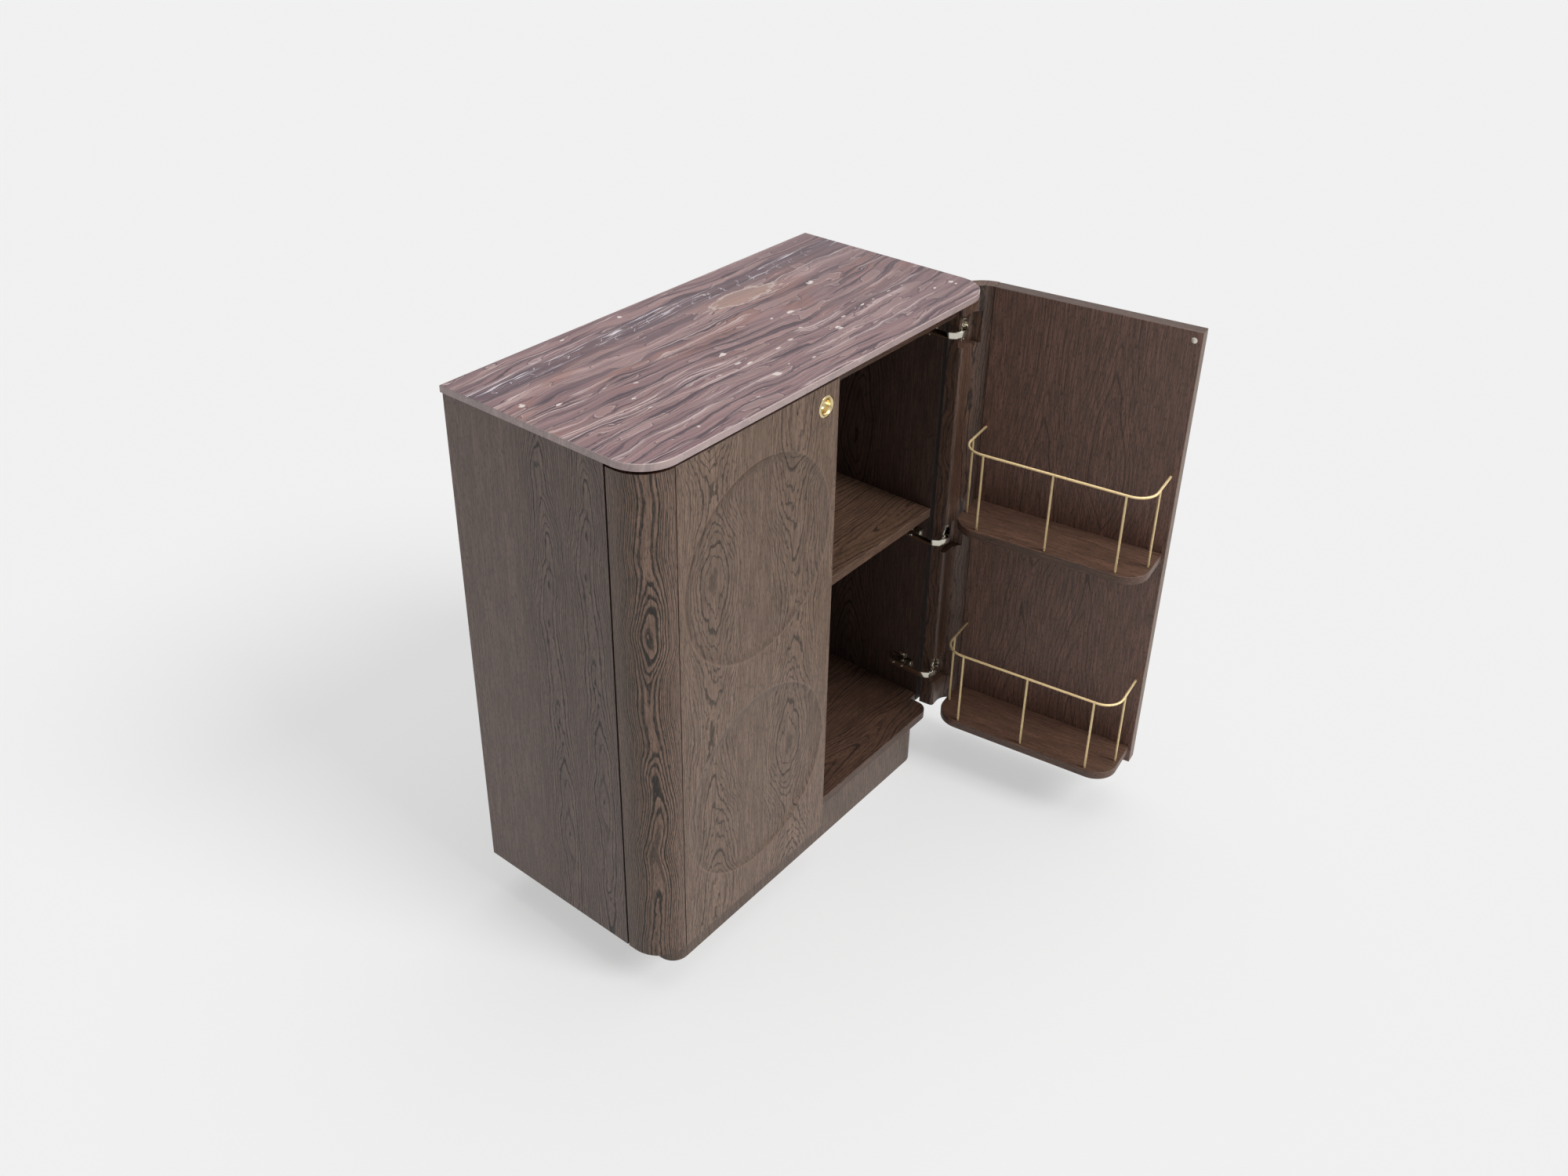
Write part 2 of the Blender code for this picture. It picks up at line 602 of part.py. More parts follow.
def make_gallery(level, underside, shelf, panel):
    """Brass rail round the shelf's edge: its ends go into the door and five posts go into the shelf."""
    left = FREE_X + DOOR_SHELF_FREE_MARGIN + GALLERY_INSET
    right = PANEL_X - DOOR_SHELF_HINGE_MARGIN - GALLERY_INSET
    front = DOOR_INNER + FIT_GAP + DOOR_SHELF_DEPTH - GALLERY_INSET
    radius = DOOR_SHELF_RADIUS - GALLERY_INSET
    shelf_top = underside + DOOR_SHELF_THICKNESS
    rail_z = shelf_top + GALLERY_HEIGHT
    corner_y = front - radius
    path = [(right, DOOR_INNER - GALLERY_SOCKET)]
    path += arc((right - radius, corner_y), radius, 0.0, math.pi / 2)
    path += arc((left + radius, corner_y), radius, math.pi / 2, math.pi)
    path += [(left, DOOR_INNER - GALLERY_SOCKET)]
    rail = rod(level + "_gallery_rail", [(x, y, rail_z) for x, y in path], GALLERY_ROD, BRASS)
    pieces = [rail]
    side_y = DOOR_INNER + GALLERY_SIDE_POST
    step = max(GALLERY_FRONT_POST, radius)
    posts = [(left, side_y), (left + step, front), ((left + right) / 2, front),
             (right - step, front), (right, side_y)]
    hole = GALLERY_ROD + 2 * FIT_GAP
    for number, (x, y) in enumerate(posts):
        name = f"{level}_gallery_post_{number}"
        foot = shelf_top - GALLERY_SOCKET
        post = cylinder(name, (x, y, foot), (x, y, rail_z), GALLERY_ROD - FIT_GAP, PIN_SIDES)
        boolean(rail, post, "UNION")
        socket = cylinder(name + "_socket", (x, y, foot - FIT_GAP), (x, y, rail_z), hole, PIN_SIDES)
        boolean(shelf, socket, "DIFFERENCE")
        pieces += [post, socket]
    for x, word in ((left, "free"), (right, "hinge")):
        socket = cylinder(f"{level}_rail_{word}_socket", (x, DOOR_INNER - GALLERY_SOCKET - FIT_GAP, rail_z),
                          (x, front, rail_z), hole, PIN_SIDES)
        boolean(panel, socket, "DIFFERENCE")
        pieces.append(socket)
    return pieces


def hang(side, word, pieces, angle):
    """Parent a door's pieces to an empty on its hinge axis, and swing them open by that empty."""
    hinge = bpy.data.objects.new(word + "_door_axis", None)
    PARTS.objects.link(hinge)
    hinge.location = (side * AXIS_X, AXIS_Y, 0.0)
    for piece in pieces:
        piece.parent = hinge
        piece.matrix_parent_inverse = Matrix.Translation(-hinge.location)
    hinge.rotation_euler.z = angle


def make_door(side, word, angle):
    pieces = make_stile(side, word) + make_panel(side, word)
    panel = next(piece for piece in pieces if piece.name == word + "_door_panel")
    pieces += make_pull(side, word, panel) + make_catch_disc(side, word, panel)
    for level, z in HINGE_HEIGHTS.items():
        pieces += make_hinge_cup(side, word, level, z)
        make_hinge_arm(side, word, level, z)
    if word == "right":
        for level, underside in DOOR_SHELF_UNDERSIDES.items():
            shelf = make_door_shelf(level, underside)
            pieces += [shelf] + make_gallery(level, underside, shelf, panel)
    hang(side, word, pieces, angle)


make_plinth()
top_board = make_carcass()
make_marble_top()
for door_side, door_word, door_angle in ((-1, "left", 0.0), (1, "right", RIGHT_DOOR_OPEN)):
    make_door(door_side, door_word, door_angle)
    make_catch_magnet(door_side, door_word, top_board)
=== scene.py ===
"""Bar cabinet in smoked oak, with a purple marble top, dished doors and brass bottle galleries.

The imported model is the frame, in metres, with the floor at z = 0 and the front towards -Y.
The left door is shut. The right door stands open, so its pieces are made shut and then swung out.
"""

import math
from functools import partial

import bmesh
import bpy
from mathutils import Matrix, Vector


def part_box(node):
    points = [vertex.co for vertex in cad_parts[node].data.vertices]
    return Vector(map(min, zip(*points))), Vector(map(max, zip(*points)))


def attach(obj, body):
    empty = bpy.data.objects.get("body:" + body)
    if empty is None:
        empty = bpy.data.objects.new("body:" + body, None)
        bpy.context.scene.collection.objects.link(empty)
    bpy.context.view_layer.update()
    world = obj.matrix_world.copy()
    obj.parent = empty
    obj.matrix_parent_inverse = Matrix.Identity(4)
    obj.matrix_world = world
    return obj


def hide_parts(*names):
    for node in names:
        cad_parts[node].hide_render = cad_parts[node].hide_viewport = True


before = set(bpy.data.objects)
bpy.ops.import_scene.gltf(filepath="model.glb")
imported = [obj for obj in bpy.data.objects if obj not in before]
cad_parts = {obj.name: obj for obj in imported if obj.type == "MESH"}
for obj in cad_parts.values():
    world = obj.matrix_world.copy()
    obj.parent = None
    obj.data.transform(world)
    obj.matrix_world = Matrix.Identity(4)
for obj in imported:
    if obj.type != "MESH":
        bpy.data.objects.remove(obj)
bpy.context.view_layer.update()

# Plinth
# A hollow frame of smoked oak that carries the cabinet clear of the floor. Its front corners are
# bent round, and it is fixed with screws from inside, so no fixing shows.


def linear(code):
    """An sRGB hex colour as the linear colour that a socket takes."""
    parts = [int(code[start:start + 2], 16) / 255 for start in (1, 3, 5)]
    return (*[part / 12.92 if part <= 0.04045 else ((part + 0.055) / 1.055) ** 2.4 for part in parts], 1.0)


def put(tree, kind, *inputs, stops=(), **named):
    """Add one node with its settings and links.

    Inputs come in the node's own order or under their capital names. One that is a node or an output is
    linked, and a plain value is set. Names in small letters are settings of the node.
    """
    node = tree.nodes.new("ShaderNode" + kind)
    sockets = list(enumerate(inputs))
    for name, value in named.items():
        if name[0].islower():
            setattr(node, name, value)
        else:
            sockets.append((name.replace("_", " "), value))
    for key, value in sockets:
        if isinstance(value, bpy.types.Node):
            value = next(output for output in value.outputs if output.enabled)
        if isinstance(value, bpy.types.NodeSocket):
            tree.links.new(value, node.inputs[key])
        else:
            node.inputs[key].default_value = value
    for index, (place, colour) in enumerate(stops):
        node.color_ramp.interpolation = "EASE"
        while len(node.color_ramp.elements) <= index:
            node.color_ramp.elements.new(1.0)
        node.color_ramp.elements[index].position = place
        node.color_ramp.elements[index].color = colour
    return node


def smoked_oak(name, order, hearts, swells=(), turned_ends=None, depth=0.0, turn=None, seed=0.0, ring=0.0150,
               tight=0.034, layer=0.004, figure=1.0, fade=0.40, bold=0.30, waver=1.0, dishes=None,
               palette=("#8b7261", "#675243", "#2a2019")):
    """Open-pored oak, fumed dark and finished in matt lacquer.

    The eye sees growth rings cut at a slant: ovals and arches over the heart of each leaf of veneer,
    and close straight lines beside it. Each ring starts with a dark line of open pores.

    order: the axes across the grain, into the face and along the grain
    hearts: the first and the last heart across the grain, and the step between them
    swells: heights along the grain and how many rings lie on top there; an oval sits in each dip
    turned_ends: the height about which every other leaf is turned end for end
    depth, turn: where the face lies, and the move that takes a swung or turned piece to the grain's axes
    ring, tight, layer: ring widths at the heart, beside it and into the wood
    figure, fade: how dark the rings are at the heart, and the share of that which is left beside it
    bold, waver: how broad the ring lines are at the heart, and how much they wander
    dishes: the middle between a door's two dishes, half the step between them, and their radius, for the
    painted shade in the dishes and the painted highlight on their rims
    palette: pale wood, brown wood and pores
    """
    pale, brown, pore = (linear(code) for code in palette)
    material = bpy.data.materials.new(name)
    material.use_nodes = True
    tree = material.node_tree
    add = partial(put, tree)
    shader = tree.nodes["Principled BSDF"]
    place = add("TexCoord").outputs["Object"]
    if turn is not None:
        place = add("Mapping", place, turn.to_translation(), turn.to_euler())
    axes = add("SeparateXYZ", place)
    across, into, along = (axes.outputs[letter] for letter in order)

    # Place in the leaf: beside the heart line, below the face and along the grain. Leaves of one log are
    # shifted by 130 mm, unless they are turned end for end.
    first, last, width = hearts
    from_first = add("Math", across, first, operation="SUBTRACT")
    number = add("Math", add("Math", from_first, width, operation="DIVIDE"), operation="ROUND")
    number = add("Clamp", number, 0.0, round((last - first) / width))
    to_heart = add("Math", number, width, operation="MULTIPLY")
    beside = add("Math", from_first, to_heart, operation="SUBTRACT")
    below = add("Math", into, depth, operation="SUBTRACT")
    if turned_ends is None:
        length = add("Math", number, 0.13, along, operation="MULTIPLY_ADD")
    else:
        odd = add("Math", number, 1.0, operation="PINGPONG")
        way = add("Math", odd, -2.0, 1.0, operation="MULTIPLY_ADD")
        beside = add("Math", beside, way, operation="MULTIPLY")
        from_turn = add("Math", along, turned_ends, operation="SUBTRACT")
        length = add("Math", from_turn, way, turned_ends, operation="MULTIPLY_ADD")
    grain = add("CombineXYZ", beside, below, length)

    def drawn_out(size, detail, shift):
        """A random pattern drawn out to these sizes across, into and along the grain."""
        scaled = add("Mapping", grain, (seed + shift, seed * 1.7, shift), Scale=[1 / part for part in size])
        return add("TexNoise", scaled, Scale=1.0, Detail=detail)

    # The ring count: tight beside the heart, swelling along it, wavering and a little jagged. The heart
    # itself wanders by up to 25 mm and lies 6 mm below the face.
    wander = add("Math", drawn_out((9.0, 9.0, 0.20), 2.0, 3.1), 0.050, -0.025, operation="MULTIPLY_ADD")
    from_heart = add("CombineXYZ", add("Math", beside, wander, operation="ADD"), 0.006)
    radius = add("VectorMath", from_heart, operation="LENGTH")
    tighter = add("Math", add("Math", radius, tight, operation="DIVIDE"), 2.0, operation="POWER")
    count = add("Math", radius, 1 / ring, tighter, operation="MULTIPLY_ADD")
    if swells:
        low, high = swells[0][0], swells[-1][0]
        top = max(rings for height, rings in swells)
        spot = add("Math", add("Math", length, low, operation="SUBTRACT"), high - low, operation="DIVIDE")
        swell = add("ValToRGB", spot, stops=[
            ((height - low) / (high - low), (*[rings / top] * 3, 1.0)) for height, rings in swells])
        count = add("Math", swell, top, count, operation="MULTIPLY_ADD")
    count = add("Math", below, 1 / layer, count, operation="MULTIPLY_ADD")
    for size, shift, rings_moved in (((0.035, 0.05, 0.14), 7.7, 3.0), ((0.0070, 0.0070, 0.018), 1.3, 0.9)):
        count = add("Math", drawn_out(size, 2.0, shift), rings_moved * waver, count, operation="MULTIPLY_ADD")
    uneven = add("TexNoise", W=count, Scale=0.55, Detail=0.0, noise_dimensions="1D")
    count = add("Math", uneven, 0.9, count, operation="MULTIPLY_ADD")

    # Each ring's line of pores: its breadth, its own strength, and the dashes that it breaks into
    breadth = add("MapRange", radius, 0.012, 0.080, bold, 0.52, interpolation_type="SMOOTHSTEP")
    core = add("Math", breadth, 0.50, operation="MULTIPLY")
    line = add("MapRange", add("Math", count, operation="FRACT"), core, breadth, 1.0, 0.0,
               interpolation_type="SMOOTHSTEP")
    chance = add("TexWhiteNoise", W=add("Math", count, operation="FLOOR"), noise_dimensions="1D")
    strength = add("Math", chance, 0.45, 0.55, operation="MULTIPLY_ADD")
    dashes = add("MapRange", drawn_out((0.0020, 0.0020, 0.012), 1.0, 13.0), 0.35, 0.60, 0.65, 1.0,
                 interpolation_type="SMOOTHSTEP")
    left = add("MapRange", radius, 0.02, 0.09, figure, figure * fade, interpolation_type="SMOOTHSTEP")
    rings = line
    for share in (dashes, strength, left):
        rings = add("Math", rings, share, operation="MULTIPLY")

    # Fibres and single pores are finer than this in oak; they are drawn coarse enough to show.
    fibres, pores, clouds = (
        add("MapRange", drawn_out(size, detail, shift), low, high, 0.0, most, interpolation_type="SMOOTHSTEP")
        for size, detail, shift, low, high, most in (
            ((0.0026, 0.0026, 0.055), 2.0, 5.0, 0.30, 0.70, 1.0),
            ((0.0015, 0.0015, 0.010), 1.0, 9.0, 0.54, 0.66, 0.52),
            ((0.022, 0.06, 0.20), 2.0, 11.0, 0.32, 0.68, 0.40)))
    coats = [(fibres, pale), (clouds, brown), (pores, pore), (rings, pore)]
    if dishes is not None:
        # Painted shade darkens a turned dish inside, most of all in a ring just under its rim, and a painted
        # highlight draws a thin pale line along the rim.
        middle, half_step, rim = dishes
        aside = add("Math", across, middle[0], operation="SUBTRACT")
        from_middle = add("Math", add("Math", along, middle[1], operation="SUBTRACT"), operation="ABSOLUTE")
        above = add("Math", from_middle, half_step, operation="SUBTRACT")
        out = add("VectorMath", add("CombineXYZ", aside, above), operation="LENGTH")
        inside = add("MapRange", out, rim - 0.002, rim, 0.12, 0.0, interpolation_type="SMOOTHSTEP")
        coats.append((inside, pore))
        # The dark ring is painted shade under the rim, and the pale ring is a painted highlight on it.
        for at, near, far, share, colour in ((rim - 0.008, 0.002, 0.014, 0.15, pore),
                                             (rim, 0.0005, 0.0034, 0.30, pale)):
            away = add("Math", add("Math", out, at, operation="SUBTRACT"), operation="ABSOLUTE")
            circle = add("MapRange", away, near, far, share, 0.0, interpolation_type="SMOOTHSTEP")
            coats.append((circle, colour))
    tone = brown
    for share, colour in coats:
        tone = add("Mix", share, A=tone, B=colour, data_type="RGBA").outputs["Result"]
    tree.links.new(tone, shader.inputs["Base Color"])
    pits = add("Math", pores, -0.6 / 0.52, operation="MULTIPLY")
    hollow = add("Math", rings, -0.5, pits, operation="MULTIPLY_ADD")
    bump = add("Bump", Height=hollow, Strength=0.25, Distance=0.0004)
    tree.links.new(bump.outputs["Normal"], shader.inputs["Normal"])
    roughness = add("Math", rings, 0.12, 0.44, operation="MULTIPLY_ADD")
    tree.links.new(roughness.outputs["Value"], shader.inputs["Roughness"])
    return material


def joined(node):
    """The CAD node's triangles as one welded shape with flat faces."""
    shape = bmesh.new()
    shape.from_mesh(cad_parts[node].data)
    bmesh.ops.remove_doubles(shape, verts=shape.verts, dist=0.00001)
    bmesh.ops.dissolve_limit(shape, angle_limit=math.radians(0.2), verts=shape.verts, edges=shape.edges)
    return shape


def smooth_rounds(shape):
    """Smooth shading on every face that isn't square to the cabinet."""
    shape.normal_update()
    for face in shape.faces:
        face.smooth = max(abs(value) for value in face.normal) < 0.9999


def fit(name, shape, finishes, body, node):
    """Turn the shape into a piece that rides on a body and stands for the named node."""
    mesh = bpy.data.meshes.new(name)
    shape.to_mesh(mesh)
    shape.free()
    for finish in finishes:
        mesh.materials.append(finish)
    item = bpy.data.objects.new(name, mesh)
    bpy.context.scene.collection.objects.link(item)
    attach(item, body)
    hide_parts(node)
    return item


plinth_shape = joined("plinth")
smooth_rounds(plinth_shape)
plinth_oak = smoked_oak("smoked_oak_plinth", "XYZ", hearts=(-0.60, -0.60, 1.0), depth=-0.136, seed=4.0,
                        ring=0.0075, tight=1.0, waver=0.5, palette=("#756053", "#57463b", "#231a15"))
fit("plinth_frame", plinth_shape, [plinth_oak], "carcass", "plinth")

# Bottom and top boards
# Veneered boards between the sides. Their front corners are rounded so that the closed stiles pass
# them. The grain runs from side to side.

floor_oak = smoked_oak("smoked_oak_floor", "YZX", hearts=(-0.14, 0.16, 0.15), depth=0.1123, seed=11.0,
                       swells=((-0.45, 0), (0.60, 12)), waver=0.5, fade=0.7,
                       palette=("#6c4f3f", "#4c372c", "#1b130d"))
for board in ("bottom", "top"):
    board_shape = joined(board + "_panel")
    smooth_rounds(board_shape)
    fit(board + "_board", board_shape, [floor_oak], "carcass", board + "_panel")

# Sides, back and middle shelf
# Flat veneered boards. The grain of the sides and the back is upright, and that of the shelf runs from
# side to side. The insides are veneered in plainer leaves, in a darker palette that partly paints the
# shade inside the cabinet. The sides' front edges are painted near-black oak with little sheen, as
# painted shade.

# Partly painted shade: a darker palette for the plainer inside veneer, standing partly for the shade inside
# the cabinet, and used as painted shade on the doors' top edges.
LINING_AND_SHADE = ("#69534a", "#4a3a33", "#1b1511")
for side, inward, seed in (("left", 1, 21.0), ("right", -1, 26.0)):
    side_oak = smoked_oak(side + "_side_oak", "YXZ", hearts=(-0.095, 0.0, 0.095), depth=-0.471 * inward,
                          swells=((0.09, 3.0), (0.33, 1.2), (0.407, 0), (0.49, 1.3), (0.63, 4.3),
                                  (0.936, 5.4), (1.01, 7.0), (1.13, 10.5), (1.33, 16)),
                          ring=0.0100, tight=0.022, figure=1.2, fade=0.12, bold=0.36, seed=seed,
                          palette=("#836b5f", "#624f46", "#231b16"))
    lining_oak = smoked_oak(side + "_lining_oak", "YXZ", hearts=(0.05, 0.05, 1.0), depth=-0.454 * inward,
                            swells=((0.09, 0), (0.45, 8), (0.70, 1), (1.08, 9)), waver=0.5,
                            seed=seed + 3.0, palette=LINING_AND_SHADE)
    # Painted shade: a near-black oak with little sheen on the sides' front edges, for the shade that falls on
    # them.
    shaded_front_edge_oak = smoked_oak(side + "_shaded_front_edge_oak", "XYZ", hearts=(-0.50 * inward, -0.50 * inward, 1.0),
                             depth=-0.20, figure=0.5, seed=seed + 5.0,
                             palette=("#3c2f29", "#2c221d", "#120e0b"))
    shaded_front_edge_oak.node_tree.nodes["Principled BSDF"].inputs["Specular IOR Level"].default_value = 0.15
    board = joined(side + "_side_panel")
    smooth_rounds(board)
    for face in board.faces:
        face.material_index = 2 if face.normal.y < -0.5 else 1 if face.normal.x * inward > 0.9 else 0
    fit(side + "_side_board", board, [side_oak, lining_oak, shaded_front_edge_oak], "carcass",
        side + "_side_panel")
back_oak = smoked_oak("smoked_oak_back", "XYZ", hearts=(-0.30, 0.30, 0.20), depth=0.212, turned_ends=0.58,
                      swells=((0.09, 0), (0.40, 8), (0.75, 0), (1.08, 8)), seed=31.0, palette=LINING_AND_SHADE)
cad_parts["back_panel"].data.materials[0] = back_oak
shelf_oak = smoked_oak("smoked_oak_shelf", "YZX", hearts=(-0.10, 0.20, 0.15), depth=0.5925, seed=37.0,
                       swells=((-0.45, 9), (0.50, 0)), waver=0.5, fade=0.7,
                       palette=("#7d5f4d", "#5a4436", "#20170f"))
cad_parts["middle_shelf"].data.materials[0] = shelf_oak

# Shelf pins
# Short turned steel pins with a rounded tip. They are pushed into holes in the sides and carry the
# middle shelf.


def turned(profile, steps, place):
    """A closed solid of revolution: (radius, height) points spun about Z, then set in place."""
    shape = bmesh.new()
    verts = [shape.verts.new((radius, 0.0, height)) for radius, height in profile]
    edges = [shape.edges.new(pair) for pair in zip(verts, verts[1:])]
    bmesh.ops.spin(shape, geom=verts + edges, cent=(0, 0, 0), axis=(0, 0, 1), angle=math.tau, steps=steps,
                   use_merge=True)
    bmesh.ops.remove_doubles(shape, verts=shape.verts, dist=0.000002)
    bmesh.ops.recalc_face_normals(shape, faces=shape.faces)
    for face in shape.faces:
        face.smooth = True
    bmesh.ops.transform(shape, matrix=place, verts=shape.verts)
    return shape


def plain_metal(name, colour, roughness, streak):
    """A bare or plated metal: its grain is faint streaks, a little rougher and duller than the rest."""
    material = bpy.data.materials.new(name)
    material.use_nodes = True
    tree = material.node_tree
    add = partial(put, tree)
    shader = tree.nodes["Principled BSDF"]
    shader.inputs["Metallic"].default_value = 1.0
    place = add("Mapping", add("TexCoord").outputs["Object"], Scale=[1 / length for length in streak])
    rub = add("TexNoise", place, Scale=1.0, Detail=3.0)
    bright = linear(colour)
    duller = (*[value * 0.86 for value in bright[:3]], 1.0)
    tone = add("Mix", rub, A=bright, B=duller, data_type="RGBA")
    tree.links.new(tone.outputs["Result"], shader.inputs["Base Color"])
    rough = add("MapRange", rub, 0.3, 0.7, roughness * 0.8, roughness * 1.25)
    tree.links.new(rough.outputs["Result"], shader.inputs["Roughness"])
    return material


steel = plain_metal("turned_steel", "#c8c6c2", 0.28, (0.004, 0.004, 0.004))
for side, outward in (("left", -1), ("right", 1)):
    for row in ("front", "back"):
        node = f"{side}_{row}_shelf_pin"
        low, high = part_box(node)
        pin = (high.z - low.z) / 2
        length = high.x - low.x
        profile = [(0.0, 0.0), (pin * 0.7, 0.0), (pin, pin * 0.3), (pin, length), (0.0, length)]
        tip = Vector((low.x if outward > 0 else high.x, (low.y + high.y) / 2, (low.z + high.z) / 2))
        place = Matrix.Translation(tip) @ Matrix.Rotation(outward * math.pi / 2, 4, "Y")
        fit(f"{side}_{row}_pin", turned(profile, 24, place), [steel], "carcass", node)

# Marble top
# One slab of banded purple marble, honed, with round front corners and eased arrises. Its beds run
# along the slab: mauve and grey-purple layers, salmon patches, white flecks and a dark band at the back.

MARBLE_CORNER = 0.069
UPPER_ARRIS, LOWER_ARRIS = 0.0016, 0.0005


def ease(shape, edges, width, segments):
    """Round the given edges, and shade only the new faces smooth so that the flats stay flat."""
    new = bmesh.ops.bevel(shape, geom=edges, offset=width, offset_type="OFFSET", segments=segments,
                          profile=0.5, affect="EDGES", material=-1)
    for face in new["faces"]:
        face.smooth = True


def block(low, high):
    """A box between two corners, as the blank that a piece is cut from."""
    shape = bmesh.new()
    middle = (Vector(low) + Vector(high)) / 2
    bmesh.ops.create_cube(shape, size=1.0, matrix=Matrix.Translation(middle) @ Matrix.Diagonal(
        (*(Vector(high) - Vector(low)), 1.0)))
    return shape


def purple_marble(name, painted_paleness):
    """Honed purple marble: beds of mauve, grey and salmon drawn out along X and folded by pressure.

    The eye sees wavy beds 3 to 20 mm deep with dark seams between them, long paler lenses, thin white
    veins in a dark band near the back, and rows of small white flecks. bleach is how much paler a face
    is painted: painted light on the slab's edge, and a painted highlight on its front arris.
    """
    material = bpy.data.materials.new(name)
    material.use_nodes = True
    tree = material.node_tree
    add = partial(put, tree)
    shader = tree.nodes["Principled BSDF"]
    place = add("TexCoord").outputs["Object"]
    x, y, z = add("SeparateXYZ", place).outputs

    def drawn_out(vector, size, detail, shift):
        """A random pattern drawn out to these sizes along the slab, across it and through it."""
        scaled = add("Mapping", vector, (shift, shift * 0.7, shift * 0.3), Scale=[1 / part for part in size])
        return add("TexNoise", scaled, Scale=1.0, Detail=detail)

    # Folds push the beds sideways by some 10 mm over 300 mm, and by less over shorter lengths.
    fold = -0.030
    for size, detail, shift, reach in (((0.32, 0.14, 0.14), 1.0, 2.0, 0.060),
                                       ((0.095, 0.030, 0.030), 1.0, 5.0, 0.022),
                                       ((0.030, 0.010, 0.010), 2.0, 6.0, 0.006)):
        fold = add("Math", drawn_out(place, size, detail, shift), reach, fold, operation="MULTIPLY_ADD")
    bed_y = add("Math", y, fold, operation="ADD")
    beds = add("CombineXYZ", x, bed_y, z)

    def bedding(thickness, detail, shift):
        """Layers that run on along the slab: noise over the beds' depth alone, drifting slowly along X."""
        drift = drawn_out(place, (0.45, 0.30, 0.30), 1.0, shift)
        drift = add("Math", drift, 2.5, shift, operation="MULTIPLY_ADD")
        depth = add("Math", bed_y, 1 / thickness, drift, operation="MULTIPLY_ADD")
        return add("TexNoise", W=depth, Scale=1.0, Detail=detail, Roughness=0.6, noise_dimensions="1D")

    def patches(vector, size, low, high, shift, most=1.0):
        """Nothing to most, in patches of this size."""
        return add("MapRange", drawn_out(vector, size, 1.0, shift), low, high, 0.0, most,
                   interpolation_type="SMOOTHSTEP")

    def band(value, middle, core, edge, most=1.0):
        """Most where the value is within core of the middle, falling to nothing at edge."""
        away = add("Math", add("Math", value, middle, operation="SUBTRACT"), operation="ABSOLUTE")
        return add("MapRange", away, core, edge, most, 0.0, interpolation_type="SMOOTHSTEP")

    # Coats are laid over the beds one after another: a colour, and shares that are multiplied.
    coats = []
    # Salmon patches, most of all in the middle of the slab
    coats.append(("#936a60", patches(beds, (0.15, 0.045, 0.045), 0.46, 0.62, 18.0, 0.60),
                  band(y, 0.040, 0.050, 0.160)))
    # Long paler lenses with a dark skin and a thin pale line inside it
    lens = drawn_out(beds, (0.110, 0.020, 0.020), 1.0, 14.0)
    coats.append(("#57424a", band(lens, 0.572, 0.002, 0.010, 0.85)))
    in_lens = add("MapRange", lens, 0.576, 0.60, 0.0, 0.50, interpolation_type="SMOOTHSTEP")
    coats.append(("#a38683", in_lens))
    coats.append(("#cab4b1", band(lens, 0.590, 0.002, 0.010, 0.45)))
    # Seams 1 to 3 mm wide between the beds, two kinds of dark ones and one of pale ones
    coats.append(("#48353e", band(bedding(0.026, 2.0, 21.0), 0.50, 0.010, 0.028),
                  patches(beds, (0.20, 0.05, 0.05), 0.34, 0.50, 31.0)))
    coats.append(("#4c3943", band(bedding(0.015, 2.0, 23.0), 0.52, 0.007, 0.022, 0.85),
                  patches(beds, (0.14, 0.04, 0.04), 0.42, 0.56, 33.0)))
    coats.append(("#c9b4b2", band(bedding(0.018, 2.0, 25.0), 0.50, 0.006, 0.022, 0.80),
                  patches(beds, (0.16, 0.03, 0.03), 0.46, 0.58, 27.0)))
    # The dark band near the back, with white veins along it and short cracks across it
    band_y = add("Math", fold, 0.45, y, operation="MULTIPLY_ADD")
    coats.append(("#4f3c46", band(band_y, 0.152, 0.010, 0.030, 0.75)))
    slant = add("CombineXYZ", x, add("Math", x, -0.06, band_y, operation="MULTIPLY_ADD"), z)
    coats.append(("#ded6dc", band(drawn_out(slant, (0.35, 0.0070, 0.0070), 2.0, 41.0), 0.5, 0.005, 0.020),
                  band(band_y, 0.160, 0.012, 0.026), patches(slant, (0.09, 0.012, 0.012), 0.40, 0.50, 47.0)))
    jagged = drawn_out(place, (0.05, 0.010, 0.05), 1.0, 71.0)
    crack_x = add("Math", x, 1 / 0.040, jagged, operation="MULTIPLY_ADD")
    crack_way = add("Math", y, -12.0, crack_x, operation="MULTIPLY_ADD")
    crack = add("MapRange", add("Math", crack_way, 0.5, operation="PINGPONG"), 0.0, 0.036, 1.0, 0.0,
                interpolation_type="SMOOTHSTEP")
    coats.append(("#d6ccd2", crack, band(band_y, 0.152, 0.010, 0.016),
                  patches(place, (0.022, 0.014, 0.02), 0.50, 0.56, 73.0)))
    # One large tan pod in front of the band
    pod_x, pod_y, pod_length, pod_depth = 0.128, 0.108, 0.085, 0.019
    pod = add("Mapping", beds, (-pod_x / pod_length, -pod_y / pod_depth, 0.0),
              Scale=(1 / pod_length, 1 / pod_depth, 0.0))
    pod_edge = drawn_out(beds, (0.030, 0.010, 0.010), 3.0, 81.0)
    pod_edge = add("Math", pod_edge, 1.3, -0.65, operation="MULTIPLY_ADD")
    pod_out = add("Math", add("VectorMath", pod, operation="LENGTH"), pod_edge, operation="ADD")
    coats.append(("#bba69f", band(pod_out, 1.0, 0.04, 0.16)))
    in_pod = add("MapRange", pod_out, 0.80, 0.98, 0.70, 0.0, interpolation_type="SMOOTHSTEP")
    coats.append(("#a5877b", in_pod))
    # The right end of the slab is a little darker.
    to_right = add("MapRange", x, 0.10, 0.44, 0.0, 0.20, interpolation_type="SMOOTHSTEP")
    coats.append(("#5f4a50", to_right))
